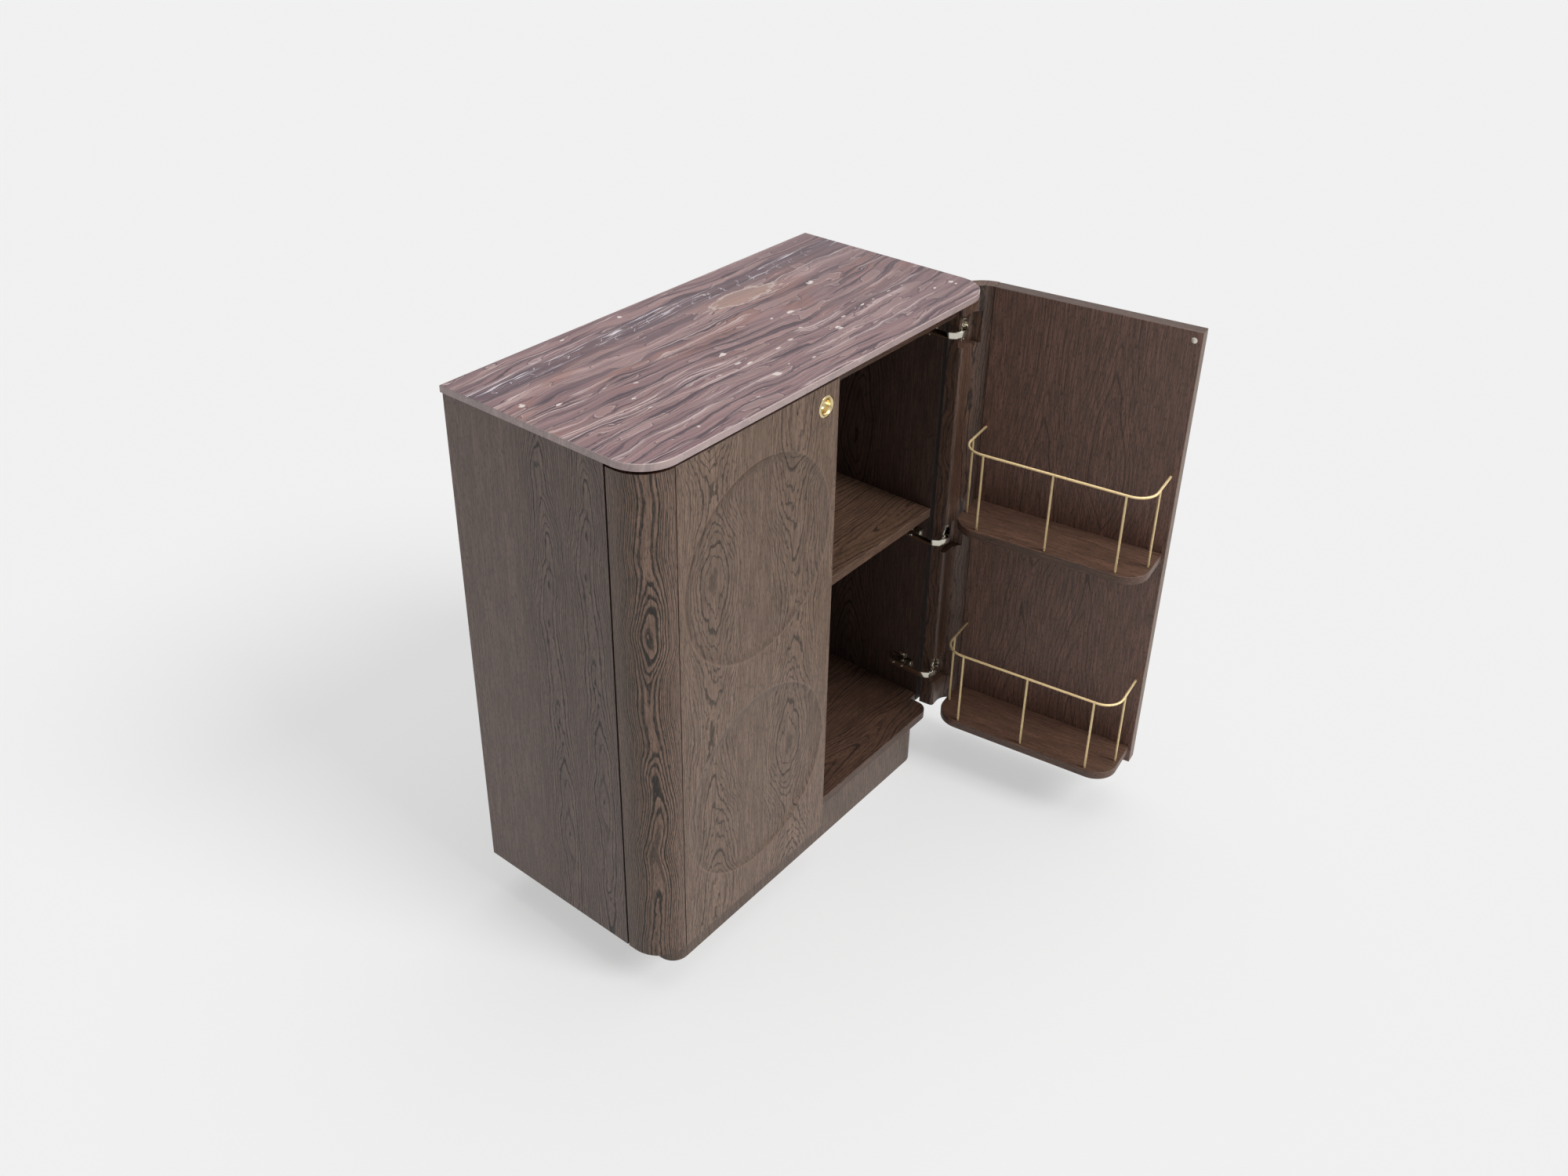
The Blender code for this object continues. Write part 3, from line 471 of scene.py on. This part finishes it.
    # White flecks 3 to 12 mm long: a few anywhere, and a chain of them along one bed
    ragged = drawn_out(beds, (0.008, 0.005, 0.005), 2.0, 55.0)
    ragged = add("Math", ragged, 0.36, -0.18, operation="MULTIPLY_ADD")
    chain = (band(bed_y, -0.072, 0.005, 0.009), band(x, 0.10, 0.22, 0.30))
    for length, depth, rare, largest, here in ((0.044, 0.021, 0.86, 0.24, ()),
                                               (0.022, 0.0095, 0.35, 0.38, chain)):
        cell_place = add("Mapping", beds, Scale=(1 / length, 1 / depth, 0.0))
        cells = add("TexVoronoi", cell_place, Scale=1.0, Randomness=1.0)
        chances = add("SeparateXYZ", cells.outputs["Color"]).outputs
        size = add("MapRange", chances["Y"], 0.0, 1.0, largest * 0.45, largest,
                   interpolation_type="SMOOTHSTEP")
        is_fleck = add("Math", chances["X"], rare, operation="GREATER_THAN")
        size = add("Math", is_fleck, size, operation="MULTIPLY")
        out = add("Math", cells.outputs["Distance"], ragged, operation="ADD")
        out = add("Math", out, size, operation="SUBTRACT")
        fleck = add("MapRange", out, -0.05, 0.0, 0.92, 0.0, interpolation_type="SMOOTHSTEP")
        coats.append(("#e0d4cf", fleck, *here))
    # Painted light: a pale coat over the whole face, for the light on the slab's edge and a painted highlight
    # on its arris.
    coats.append(("#c9b7b3", painted_paleness))

    tone = add("ValToRGB", bedding(0.030, 3.0, 9.0), stops=[(stop, linear(code)) for stop, code in (
        (0.30, "#654f55"), (0.40, "#7d6265"), (0.46, "#8c6d6e"), (0.49, "#785d61"),
        (0.54, "#8f7071"), (0.60, "#9a7b7a"), (0.64, "#86696b"), (0.72, "#ab8e8c"))])
    for code, share, *others in coats:
        for other in others:
            share = add("Math", share, other, operation="MULTIPLY")
        tone = add("Mix", share, A=tone, B=linear(code), data_type="RGBA")
    tree.links.new(tone.outputs["Result"], shader.inputs["Base Color"])
    rough = add("MapRange", drawn_out(place, (0.01, 0.01, 0.01), 2.0, 61.0), 0.3, 0.7, 0.26, 0.36,
                interpolation_type="SMOOTHSTEP")
    tree.links.new(rough.outputs["Result"], shader.inputs["Roughness"])
    return material


low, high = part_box("marble_top")
slab = block(low, high)
upright = [edge for edge in slab.edges if abs(edge.verts[0].co.z - edge.verts[1].co.z) > 0.001
           and edge.verts[0].co.y < 0]
ease(slab, upright, MARBLE_CORNER, 32)
for height, width in ((high.z, UPPER_ARRIS), (low.z, LOWER_ARRIS)):
    rim = [edge for edge in slab.edges if all(abs(vert.co.z - height) < 0.0001 for vert in edge.verts)]
    ease(slab, rim, width, 3)
slab.normal_update()
# Painted light: the slab's edge faces are painted paler than its top, and its upper front arris paler still
# as a painted highlight.
for face in slab.faces:
    to_front = face.normal.y < -0.3 and face.normal.z > 0.2
    face.material_index = 2 if to_front else 1 if abs(face.normal.z) < 0.9 else 0
slab_marble = [purple_marble("purple_marble", 0.0), purple_marble("painted_light_marble_edge", 0.60),
               purple_marble("painted_highlight_marble_arris", 0.85)]
fit("marble_slab", slab, slab_marble, "carcass", "marble_top")

# Door panels
# Flat oak doors with two shallow dishes turned out of the front, one above the other. A joint line
# parts each panel from its stile. Each dish has painted shade inside it, darkest just under its rim,
# and a painted highlight along the rim as a thin pale line.

HINGE_X, HINGE_Y = 0.4660, -0.14875
OPEN_ANGLE = math.radians(97.5)
DISH_RADIUS, DISH_BAND, DISH_DEPTH, DISH_STEPS = 0.189, 0.050, 0.0045, 12
DISH_HEIGHTS = (0.352, 0.820)
PANEL_ARRIS = 0.0010
PULL_HOLE, PULL_HOLE_DEPTH = 0.0153, 0.0163
DISC_HOLE, DISC_HOLE_DEPTH = 0.0063, 0.0023
JOINT_HALF, JOINT_DEPTH = 0.0009, 0.004
# How far the cutters for the dishes, the holes and the joint line run past the face
DISH_PAST, HOLE_PAST, JOINT_PAST = 0.010, 0.005, 0.001

to_axis = Matrix.Translation((HINGE_X, HINGE_Y, 0.0))
swing_open = to_axis @ Matrix.Rotation(OPEN_ANGLE, 4, "Z") @ to_axis.inverted()
swing_shut = swing_open.inverted()


def shut_box(node):
    """A door node's corners with both doors shut."""
    if node.startswith("left"):
        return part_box(node)
    points = [swing_shut @ vert.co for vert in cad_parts[node].data.vertices]
    return (Vector([min(point[axis] for point in points) for axis in range(3)]),
            Vector([max(point[axis] for point in points) for axis in range(3)]))


def swing(shape, side):
    """Swing a right-door shape out to where its door stands. The left door is shut."""
    if side == "right":
        bmesh.ops.transform(shape, matrix=swing_open, verts=shape.verts)


def carved(blank, *tools, operation="DIFFERENCE"):
    """The blank with the tools taken out of it, or joined to it, as one shape."""
    items = []
    for number, shape in enumerate((blank, *tools)):
        mesh = bpy.data.meshes.new(f"carving_{number}")
        shape.to_mesh(mesh)
        shape.free()
        item = bpy.data.objects.new(mesh.name, mesh)
        bpy.context.scene.collection.objects.link(item)
        items.append(item)
    for tool in items[1:]:
        cut = items[0].modifiers.new("cut", "BOOLEAN")
        cut.operation, cut.solver, cut.object = operation, "EXACT", tool
    bpy.context.view_layer.update()
    result = bmesh.new()
    result.from_mesh(items[0].evaluated_get(bpy.context.evaluated_depsgraph_get()).to_mesh())
    for item in items:
        mesh = item.data
        bpy.data.objects.remove(item)
        bpy.data.meshes.remove(mesh)
    return result


for side, outward in (("left", -1), ("right", 1)):
    node = side + "_door_panel"
    low, high = shut_box(node)
    panel = block(low, high)
    ease(panel, panel.edges[:], PANEL_ARRIS, 2)
    # The dish is flat in the middle and curves up to its rim.
    bowl = [(0.0, -DISH_DEPTH)]
    for step in range(DISH_STEPS + 2):
        share = step / DISH_STEPS
        bowl.append((DISH_RADIUS - DISH_BAND * (1 - share), DISH_DEPTH * (share ** 4 - 1)))
    bowl += [(bowl[-1][0], DISH_PAST), (0.0, DISH_PAST)]
    middle_x = (low.x + high.x) / 2
    cutters = []
    for height in DISH_HEIGHTS:
        facing = Matrix.Translation((middle_x, low.y, height)) @ Matrix.Rotation(math.pi / 2, 4, "X")
        cutters.append(turned(bowl, 128, facing))
    holes = (("finger_pull", low.y, 1, PULL_HOLE, PULL_HOLE_DEPTH, 64),
             ("catch_disc", high.y, -1, DISC_HOLE, DISC_HOLE_DEPTH, 48))
    for part, face_y, way, radius, depth, steps in holes:
        part_low, part_high = shut_box(f"{side}_{part}")
        mouth = Matrix.Translation(((part_low.x + part_high.x) / 2, face_y, (part_low.z + part_high.z) / 2))
        mouth = mouth @ Matrix.Rotation(way * math.pi / 2, 4, "X")
        hole = [(0.0, -depth), (radius, -depth), (radius, HOLE_PAST), (0.0, HOLE_PAST)]
        cutters.append(turned(hole, steps, mouth))
    joint_x = low.x if side == "left" else high.x
    cutters.append(block((joint_x - JOINT_HALF, low.y - JOINT_PAST, low.z - JOINT_PAST),
                         (joint_x + JOINT_HALF, low.y + JOINT_DEPTH, high.z + JOINT_PAST)))
    door = carved(panel, *cutters)
    turn, seed = (None, 41.0) if side == "left" else (swing_shut, 47.0)
    near, far = sorted((outward * 0.110, outward * 0.320))
    dish_middle, dish_step = sum(DISH_HEIGHTS) / 2, (DISH_HEIGHTS[1] - DISH_HEIGHTS[0]) / 2
    panel_oak = smoked_oak(side + "_door_oak", "XYZ", hearts=(near, far, 0.210), turned_ends=0.603,
                           swells=((0.10, 0), (0.548, 8), (0.833, 0), (1.00, 6), (1.13, 2)),
                           depth=low.y, ring=0.024, tight=0.031, seed=seed, turn=turn,
                           dishes=((middle_x, dish_middle), dish_step, DISH_RADIUS))
    # Painted light: the inner face's palette is paler than the front's, to make up for the shade that it
    # stands in.
    near, far = sorted((outward * 0.145, outward * 0.275))
    inner_oak = smoked_oak(side + "_door_inner_oak", "XYZ", hearts=(near, far, 0.130), depth=high.y,
                           swells=((0.10, 0), (0.60, 5), (0.74, 1), (1.08, 6)), ring=0.0085, tight=1.0,
                           figure=0.58, fade=0.25, bold=0.26, waver=0.2, seed=seed + 30.0, turn=turn,
                           palette=("#997264", "#664e43", "#221814"))
    # Painted shade: the door's top edge gets the dark lining palette in place of the shade that lies on it.
    shaded_top_edge_oak = smoked_oak(side + "_door_edge_oak", "YZX", hearts=(-0.40, -0.40, 1.0), depth=high.z,
                          ring=0.0055, tight=1.0, figure=0.5, seed=seed + 42.0, turn=turn, palette=LINING_AND_SHADE)
    door.normal_update()
    for face in door.faces:
        face.material_index = 2 if face.normal.z > 0.9 else 1 if face.normal.y > 0.9 else 0
    swing(door, side)
    fit(side + "_door_face", door, [panel_oak, inner_oak, shaded_top_edge_oak], side + "_door", node)

# Door stiles
# Solid oak posts glued to the outer edge of each panel: quarter-round outside, coved inside, with
# three hinge pockets routed into the nose. The rings of the solid wood show as long ovals.

STILE_EDGE_X, STILE_FRONT_Y, STILE_ARRIS = 0.4063, -0.2205, 0.0010
ROUND_X, ROUND_Y = 0.4520, -0.2020
for side, outward in (("left", -1), ("right", 1)):
    stile = joined(side + "_door_stile")
    if side == "right":
        bmesh.ops.transform(stile, matrix=swing_shut, verts=stile.verts)
    smooth_rounds(stile)
    joint = [edge for edge in stile.edges if all(
        abs(abs(vert.co.x) - STILE_EDGE_X) < 0.0004 and vert.co.y < STILE_FRONT_Y for vert in edge.verts)]
    ease(stile, joint, STILE_ARRIS, 2)
    for face in stile.faces:
        face.material_index = 1 if max(face.normal.y, -face.normal.x * outward, face.normal.z) > 0.2 else 0
    swing(stile, side)
    # The heart of the post lies behind the middle of its round corner, at an eighth of a turn.
    from_round = Matrix.Translation((-outward * ROUND_X, -ROUND_Y, 0.0))
    turn = Matrix.Rotation(-outward * math.pi / 4, 4, "Z") @ from_round
    if side == "right":
        turn = turn @ swing_shut
    cove_oak = smoked_oak(side + "_cove_oak", "XYZ", hearts=(0.0, 0.0, 1.0), turn=turn, ring=0.0085,
                          tight=0.030, layer=0.010, seed=57.0, fade=0.7,
                          palette=("#765848", "#563f32", "#1e140d"))
    stile_oak = smoked_oak(side + "_stile_oak", "XYZ", hearts=(0.0, 0.0, 1.0), turn=turn, ring=0.0135,
                           swells=((0.09, 0), (0.18, 0.6), (0.39, 2.2), (0.49, 4.2), (0.585, 6.2),
                                   (0.685, 6.0), (0.787, 2.8), (0.915, 6.0), (1.08, 6.4)),
                           tight=0.0168, layer=0.012, seed=53.0, figure=1.25, fade=0.3, bold=0.62,
                           waver=0.6, palette=("#886d5d", "#665042", "#1c140c"))
    fit(side + "_stile_post", stile, [stile_oak, cove_oak], side + "_door", side + "_door_stile")

# Finger pulls
# Brass cups turned on a lathe and pressed into the door: a rounded lip round a bowl for the fingertip.
# Satin lacquer keeps them bright.

DOOR_FRONT_Y = -0.221
PULL_PROFILE = [
    (0.0, -0.0145), (0.0040, -0.0142), (0.0075, -0.0130), (0.0098, -0.0108), (0.0112, -0.0075),
    (0.0122, -0.0034), (0.0130, -0.0014), (0.0136, -0.0003), (0.0142, 0.0005), (0.0151, 0.0012),
    (0.0163, 0.0015), (0.0176, 0.0014), (0.0188, 0.0011), (0.0198, 0.0008), (0.0204, 0.0005),
    (0.0205, 0.0003), (0.0150, 0.0003), (0.0150, -0.0158), (0.0, -0.0158)]
satin_brass = plain_metal("satin_brass", "#ead6a8", 0.22, (0.004, 0.004, 0.012))
for side in ("left", "right"):
    node = side + "_finger_pull"
    low, high = shut_box(node)
    mouth = Matrix.Translation(((low.x + high.x) / 2, DOOR_FRONT_Y, (low.z + high.z) / 2))
    cup = turned(PULL_PROFILE, 96, mouth @ Matrix.Rotation(math.pi / 2, 4, "X"))
    swing(cup, side)
    fit(side + "_pull_cup", cup, [satin_brass], side + "_door", node)

# Catches
# A disc of satin steel let in flush with each door's inner face meets a magnet in the top board's
# front edge.

CATCH_RIM = 0.0004
satin_steel = plain_metal("satin_steel", "#efe9de", 0.50, (0.004, 0.004, 0.004))
for side in ("left", "right"):
    for kind, body in (("disc", side + "_door"), ("magnet", "carcass")):
        node = f"{side}_catch_{kind}"
        low, high = shut_box(node) if kind == "disc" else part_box(node)
        radius, length = (high.z - low.z) / 2, high.y - low.y
        profile = [(0.0, 0.0), (radius - CATCH_RIM, 0.0), (radius, CATCH_RIM), (radius, length - CATCH_RIM),
                   (radius - CATCH_RIM, length), (0.0, length)]
        start = Matrix.Translation(((low.x + high.x) / 2, low.y, (low.z + high.z) / 2))
        disc = turned(profile, 48, start @ Matrix.Rotation(-math.pi / 2, 4, "X"))
        if kind == "disc":
            swing(disc, side)
        fit(f"{side}_catch_{kind}_face", disc, [satin_steel], body, node)

# Concealed hinges
# Nickel-plated steel. On the carcass a cross-shaped plate and an arm carry a strap that bends round
# the stile's nose. On the door a cup with a flange is let into the stile, and a lever runs to the strap.

HINGE_ARRIS = 0.0003
# Screw heads on each half: the face they sit on, how far back, how far up or down, and their radius
SCREWS = {"arm": ((0.4508, -0.09725, 0.0150, 0.0040), (0.4508, -0.09725, -0.0150, 0.0040),
                  (0.4308, -0.1080, 0.0, 0.0032), (0.4308, -0.0860, 0.0, 0.0032)),
          "cup": ((0.4477, -0.1615, 0.0210, 0.0036), (0.4477, -0.1615, -0.0210, 0.0036))}
nickel = plain_metal("bright_nickel", "#d2cdc0", 0.14, (0.003, 0.003, 0.003))
for side, outward in (("left", -1), ("right", 1)):
    for level in ("upper", "middle", "lower"):
        arm_low, arm_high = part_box(f"{side}_{level}_hinge_arm")
        for kind, body in (("arm", "carcass"), ("cup", side + "_door")):
            node = f"{side}_{level}_hinge_{kind}"
            half = joined(node)
            half.normal_update()
            corners = [edge for edge in half.edges if len(edge.link_faces) == 2
                       and edge.calc_face_angle(0.0) > math.radians(40)]
            ease(half, corners, HINGE_ARRIS, 2)
            for face_x, y, rise, radius in SCREWS[kind]:
                head = [(0.0, -0.0006), (radius, -0.0006), (radius, 0.0003), (radius * 0.8, 0.0008),
                        (radius * 0.45, 0.0010), (radius * 0.40, 0.0002), (0.0, 0.0002)]
                seat = Matrix.Translation((outward * face_x, y, (arm_low.z + arm_high.z) / 2 + rise))
                screw = turned(head, 24, seat @ Matrix.Rotation(-outward * math.pi / 2, 4, "Y"))
                if kind == "cup":
                    swing(screw, side)
                screw_mesh = bpy.data.meshes.new("screw")
                screw.to_mesh(screw_mesh)
                screw.free()
                half.from_mesh(screw_mesh)
                bpy.data.meshes.remove(screw_mesh)
            for face in half.faces:
                face.smooth = True
            piece = fit(f"{side}_{level}_hinge_{kind}_half", half, [nickel], body, node)
            piece.data.set_sharp_from_angle(angle=math.radians(35))

# Door shelves
# Solid oak bottle shelves with round front corners. They are fixed to the inside of the right door,
# and their grain runs along it.

SHELF_CORNER, SHELF_ARRIS = 0.050, 0.0010
for level, seed in (("upper", 61.0), ("lower", 67.0)):
    node = level + "_door_shelf"
    low, high = shut_box(node)
    shelf = block(low, high)
    corners = [edge for edge in shelf.edges if abs(edge.verts[0].co.z - edge.verts[1].co.z) > 0.001
               and edge.verts[0].co.y > (low.y + high.y) / 2]
    ease(shelf, corners, SHELF_CORNER, 24)
    rims = [edge for edge in shelf.edges if abs(edge.verts[0].co.z - edge.verts[1].co.z) < 0.0001]
    ease(shelf, rims, SHELF_ARRIS, 3)
    swing(shelf, "right")
    ledge_oak = smoked_oak(level + "_ledge_oak", "YZX", hearts=(-0.40, -0.40, 1.0), depth=high.z,
                           turn=swing_shut, ring=0.0055, tight=1.0, fade=0.45, waver=0.4, seed=seed,
                           palette=("#7b5a4a", "#584135", "#20160f"))
    fit(level + "_bottle_shelf", shelf, [ledge_oak], "right_door", node)

# Brass galleries
# A 5 mm brass rod bent round each bottle shelf. Its ends go into the door, and five posts are
# brazed to it and pushed into the shelf.

ROD, POST = 0.0025, 0.00235
SOCKET, RAIL_BEND = 0.008, 0.0415
SIDE_POST_Y, POST_STEP = -0.1325, 0.046


def drawn(rail, end, step):
    """Draw the rod straight on from its open end, and return the new end."""
    new = bmesh.ops.extrude_edge_only(rail, edges=end)["geom"]
    moved = [item for item in new if isinstance(item, bmesh.types.BMVert)]
    bmesh.ops.translate(rail, verts=moved, vec=step)
    return [item for item in new if isinstance(item, bmesh.types.BMEdge)
            and all(vert in moved for vert in item.verts)]


def bent(rail, end, centre):
    """Bend the rod on from its open end by a quarter turn, and return the new end."""
    new = bmesh.ops.spin(rail, geom=end, cent=centre, axis=(0, 0, -1), angle=math.pi / 2, steps=16)
    return [item for item in new["geom_last"] if isinstance(item, bmesh.types.BMEdge)]


brushed_brass = plain_metal("brushed_brass", "#f8e3b6", 0.72, (0.004, 0.004, 0.012))
for level in ("upper", "lower"):
    node = level + "_gallery_rail"
    low, high = shut_box(node)
    rail_z, back_y = high.z - ROD, low.y
    left_x, right_x, front_y = low.x + ROD, high.x - ROD, high.y - ROD
    rail = bmesh.new()
    bmesh.ops.create_circle(rail, cap_ends=True, segments=20, radius=ROD, matrix=Matrix.Translation(
        (left_x, back_y, rail_z)) @ Matrix.Rotation(math.pi / 2, 4, "X"))
    end = drawn(rail, rail.edges[:], (0, front_y - RAIL_BEND - back_y, 0))
    end = bent(rail, end, (left_x + RAIL_BEND, front_y - RAIL_BEND, rail_z))
    end = drawn(rail, end, (right_x - left_x - 2 * RAIL_BEND, 0, 0))
    end = bent(rail, end, (right_x - RAIL_BEND, front_y - RAIL_BEND, rail_z))
    end = drawn(rail, end, (0, back_y - front_y + RAIL_BEND, 0))
    bmesh.ops.contextual_create(rail, geom=end)
    foot_z = shut_box(level + "_door_shelf")[1].z - SOCKET
    posts = []
    for x, y in ((left_x, SIDE_POST_Y), (left_x + POST_STEP, front_y), ((left_x + right_x) / 2, front_y),
                 (right_x - POST_STEP, front_y), (right_x, SIDE_POST_Y)):
        post = bmesh.new()
        bmesh.ops.create_cone(post, cap_ends=True, segments=20, radius1=POST, radius2=POST,
                              depth=rail_z - foot_z, matrix=Matrix.Translation((x, y, (foot_z + rail_z) / 2)))
        posts.append(post)
    bmesh.ops.recalc_face_normals(rail, faces=rail.faces)
    rail = carved(rail, *posts, operation="UNION")
    for face in rail.faces:
        face.smooth = True
    swing(rail, "right")
    fit(level + "_bottle_rail", rail, [brushed_brass], "right_door", node)

# Floor
# A plain pale studio floor. The camera and mirrors see it partly as its own even paleness, so that it
# stays pale far away, and partly as lit, so that it keeps the cabinet's soft shadow.

FLOOR_HALF = 30.0
EVEN_SHARE, EVEN_LEVEL = 0.46, 1.1
floor_shape = bmesh.new()
bmesh.ops.create_grid(floor_shape, x_segments=1, y_segments=1, size=FLOOR_HALF)
floor_mesh = bpy.data.meshes.new("studio_floor")
floor_shape.to_mesh(floor_mesh)
floor_shape.free()
studio_floor = bpy.data.objects.new("studio_floor", floor_mesh)
bpy.context.scene.collection.objects.link(studio_floor)
paper = bpy.data.materials.new("pale_paper")
paper.use_nodes = True
paper_tree = paper.node_tree
paper_tree.nodes.remove(paper_tree.nodes["Principled BSDF"])
lit_paper = put(paper_tree, "BsdfDiffuse", Color=linear("#d4d4d4"))
even_paper = put(paper_tree, "Emission", Color=linear("#ffffff"), Strength=EVEN_LEVEL)
rays = put(paper_tree, "LightPath")
seen = put(paper_tree, "Math", rays.outputs["Is Camera Ray"], rays.outputs["Is Glossy Ray"],
           operation="MAXIMUM")
share = put(paper_tree, "Math", seen, EVEN_SHARE, operation="MULTIPLY")
paper_mix = put(paper_tree, "MixShader", share, lit_paper, even_paper)
paper_tree.links.new(paper_mix.outputs["Shader"], paper_tree.nodes["Material Output"].inputs["Surface"])
floor_mesh.materials.append(paper)

# Studio light
# Even pale surroundings that polished things mirror brighter from above, a soft key light from high in
# front, and a broad soft ceiling.

DIFFUSE_LEVEL, HORIZON_LEVEL, OVERHEAD_LEVEL = 0.20, 0.40, 1.1
world = bpy.data.worlds.new("studio")
bpy.context.scene.world = world
world.use_nodes = True
sky_tree = world.node_tree
sky = sky_tree.nodes["Background"]
sky.inputs["Color"].default_value = linear("#f0f0f0")
sky_rays = put(sky_tree, "LightPath")
height = put(sky_tree, "SeparateXYZ", put(sky_tree, "TexCoord").outputs["Generated"]).outputs["Z"]
mirrored_level = put(sky_tree, "MapRange", height, 0.0, 0.8, HORIZON_LEVEL, OVERHEAD_LEVEL)
lit_level = put(sky_tree, "MapRange", sky_rays.outputs["Is Glossy Ray"], 0.0, 1.0,
                DIFFUSE_LEVEL, mirrored_level)
sky_level = put(sky_tree, "MapRange", sky_rays.outputs["Is Camera Ray"], 0.0, 1.0, lit_level, 1.0)
sky_tree.links.new(sky_level.outputs["Result"], sky.inputs["Strength"])
for name, angle, energy, place in (("soft_key", 24, 2.15, (0.7, -3.6, 3.6)),
                                   ("soft_ceiling", 60, 1.25, (0.6, 0.1, 3.0))):
    lamp = bpy.data.lights.new(name, "SUN")
    lamp.angle = math.radians(angle)
    lamp.energy = energy
    holder = bpy.data.objects.new(name, lamp)
    bpy.context.scene.collection.objects.link(holder)
    holder.location = place
    holder.rotation_euler = Vector(place).to_track_quat("Z", "Y").to_euler()

# Camera
# High in front of the cabinet's left corner, as in the photograph. Its place, its angles and its lens
# come from straight edges that were measured in the photograph.

YAW, PITCH, ROLL = 0.894191, 0.519051, 0.013993
PLACE = (-1.7530, -1.4814, 2.0950)
WIDTH_PX, HEIGHT_PX, FOCAL_PX, CENTRE_X_PX, CENTRE_Y_PX = 2000, 1500, 1826.877, 981.919, 624.943
forward = Vector((math.sin(YAW) * math.cos(PITCH), math.cos(YAW) * math.cos(PITCH), -math.sin(PITCH)))
level_right = Vector((math.cos(YAW), -math.sin(YAW), 0.0))
level_up = level_right.cross(forward)
right = level_right * math.cos(ROLL) + level_up * math.sin(ROLL)
up = level_up * math.cos(ROLL) - level_right * math.sin(ROLL)
lens = bpy.data.cameras.new("studio_camera")
lens.sensor_width = 36.0
lens.lens = FOCAL_PX / WIDTH_PX * lens.sensor_width
lens.shift_x = (WIDTH_PX / 2 - CENTRE_X_PX) / WIDTH_PX
lens.shift_y = (CENTRE_Y_PX - HEIGHT_PX / 2) / WIDTH_PX
lens.clip_end = 200.0
camera = bpy.data.objects.new("studio_camera", lens)
bpy.context.scene.collection.objects.link(camera)
pose = Matrix((right, up, -forward)).transposed().to_4x4()
pose.translation = PLACE
camera.matrix_world = pose
bpy.context.scene.camera = camera
bpy.context.scene.view_settings.view_transform = "Standard"
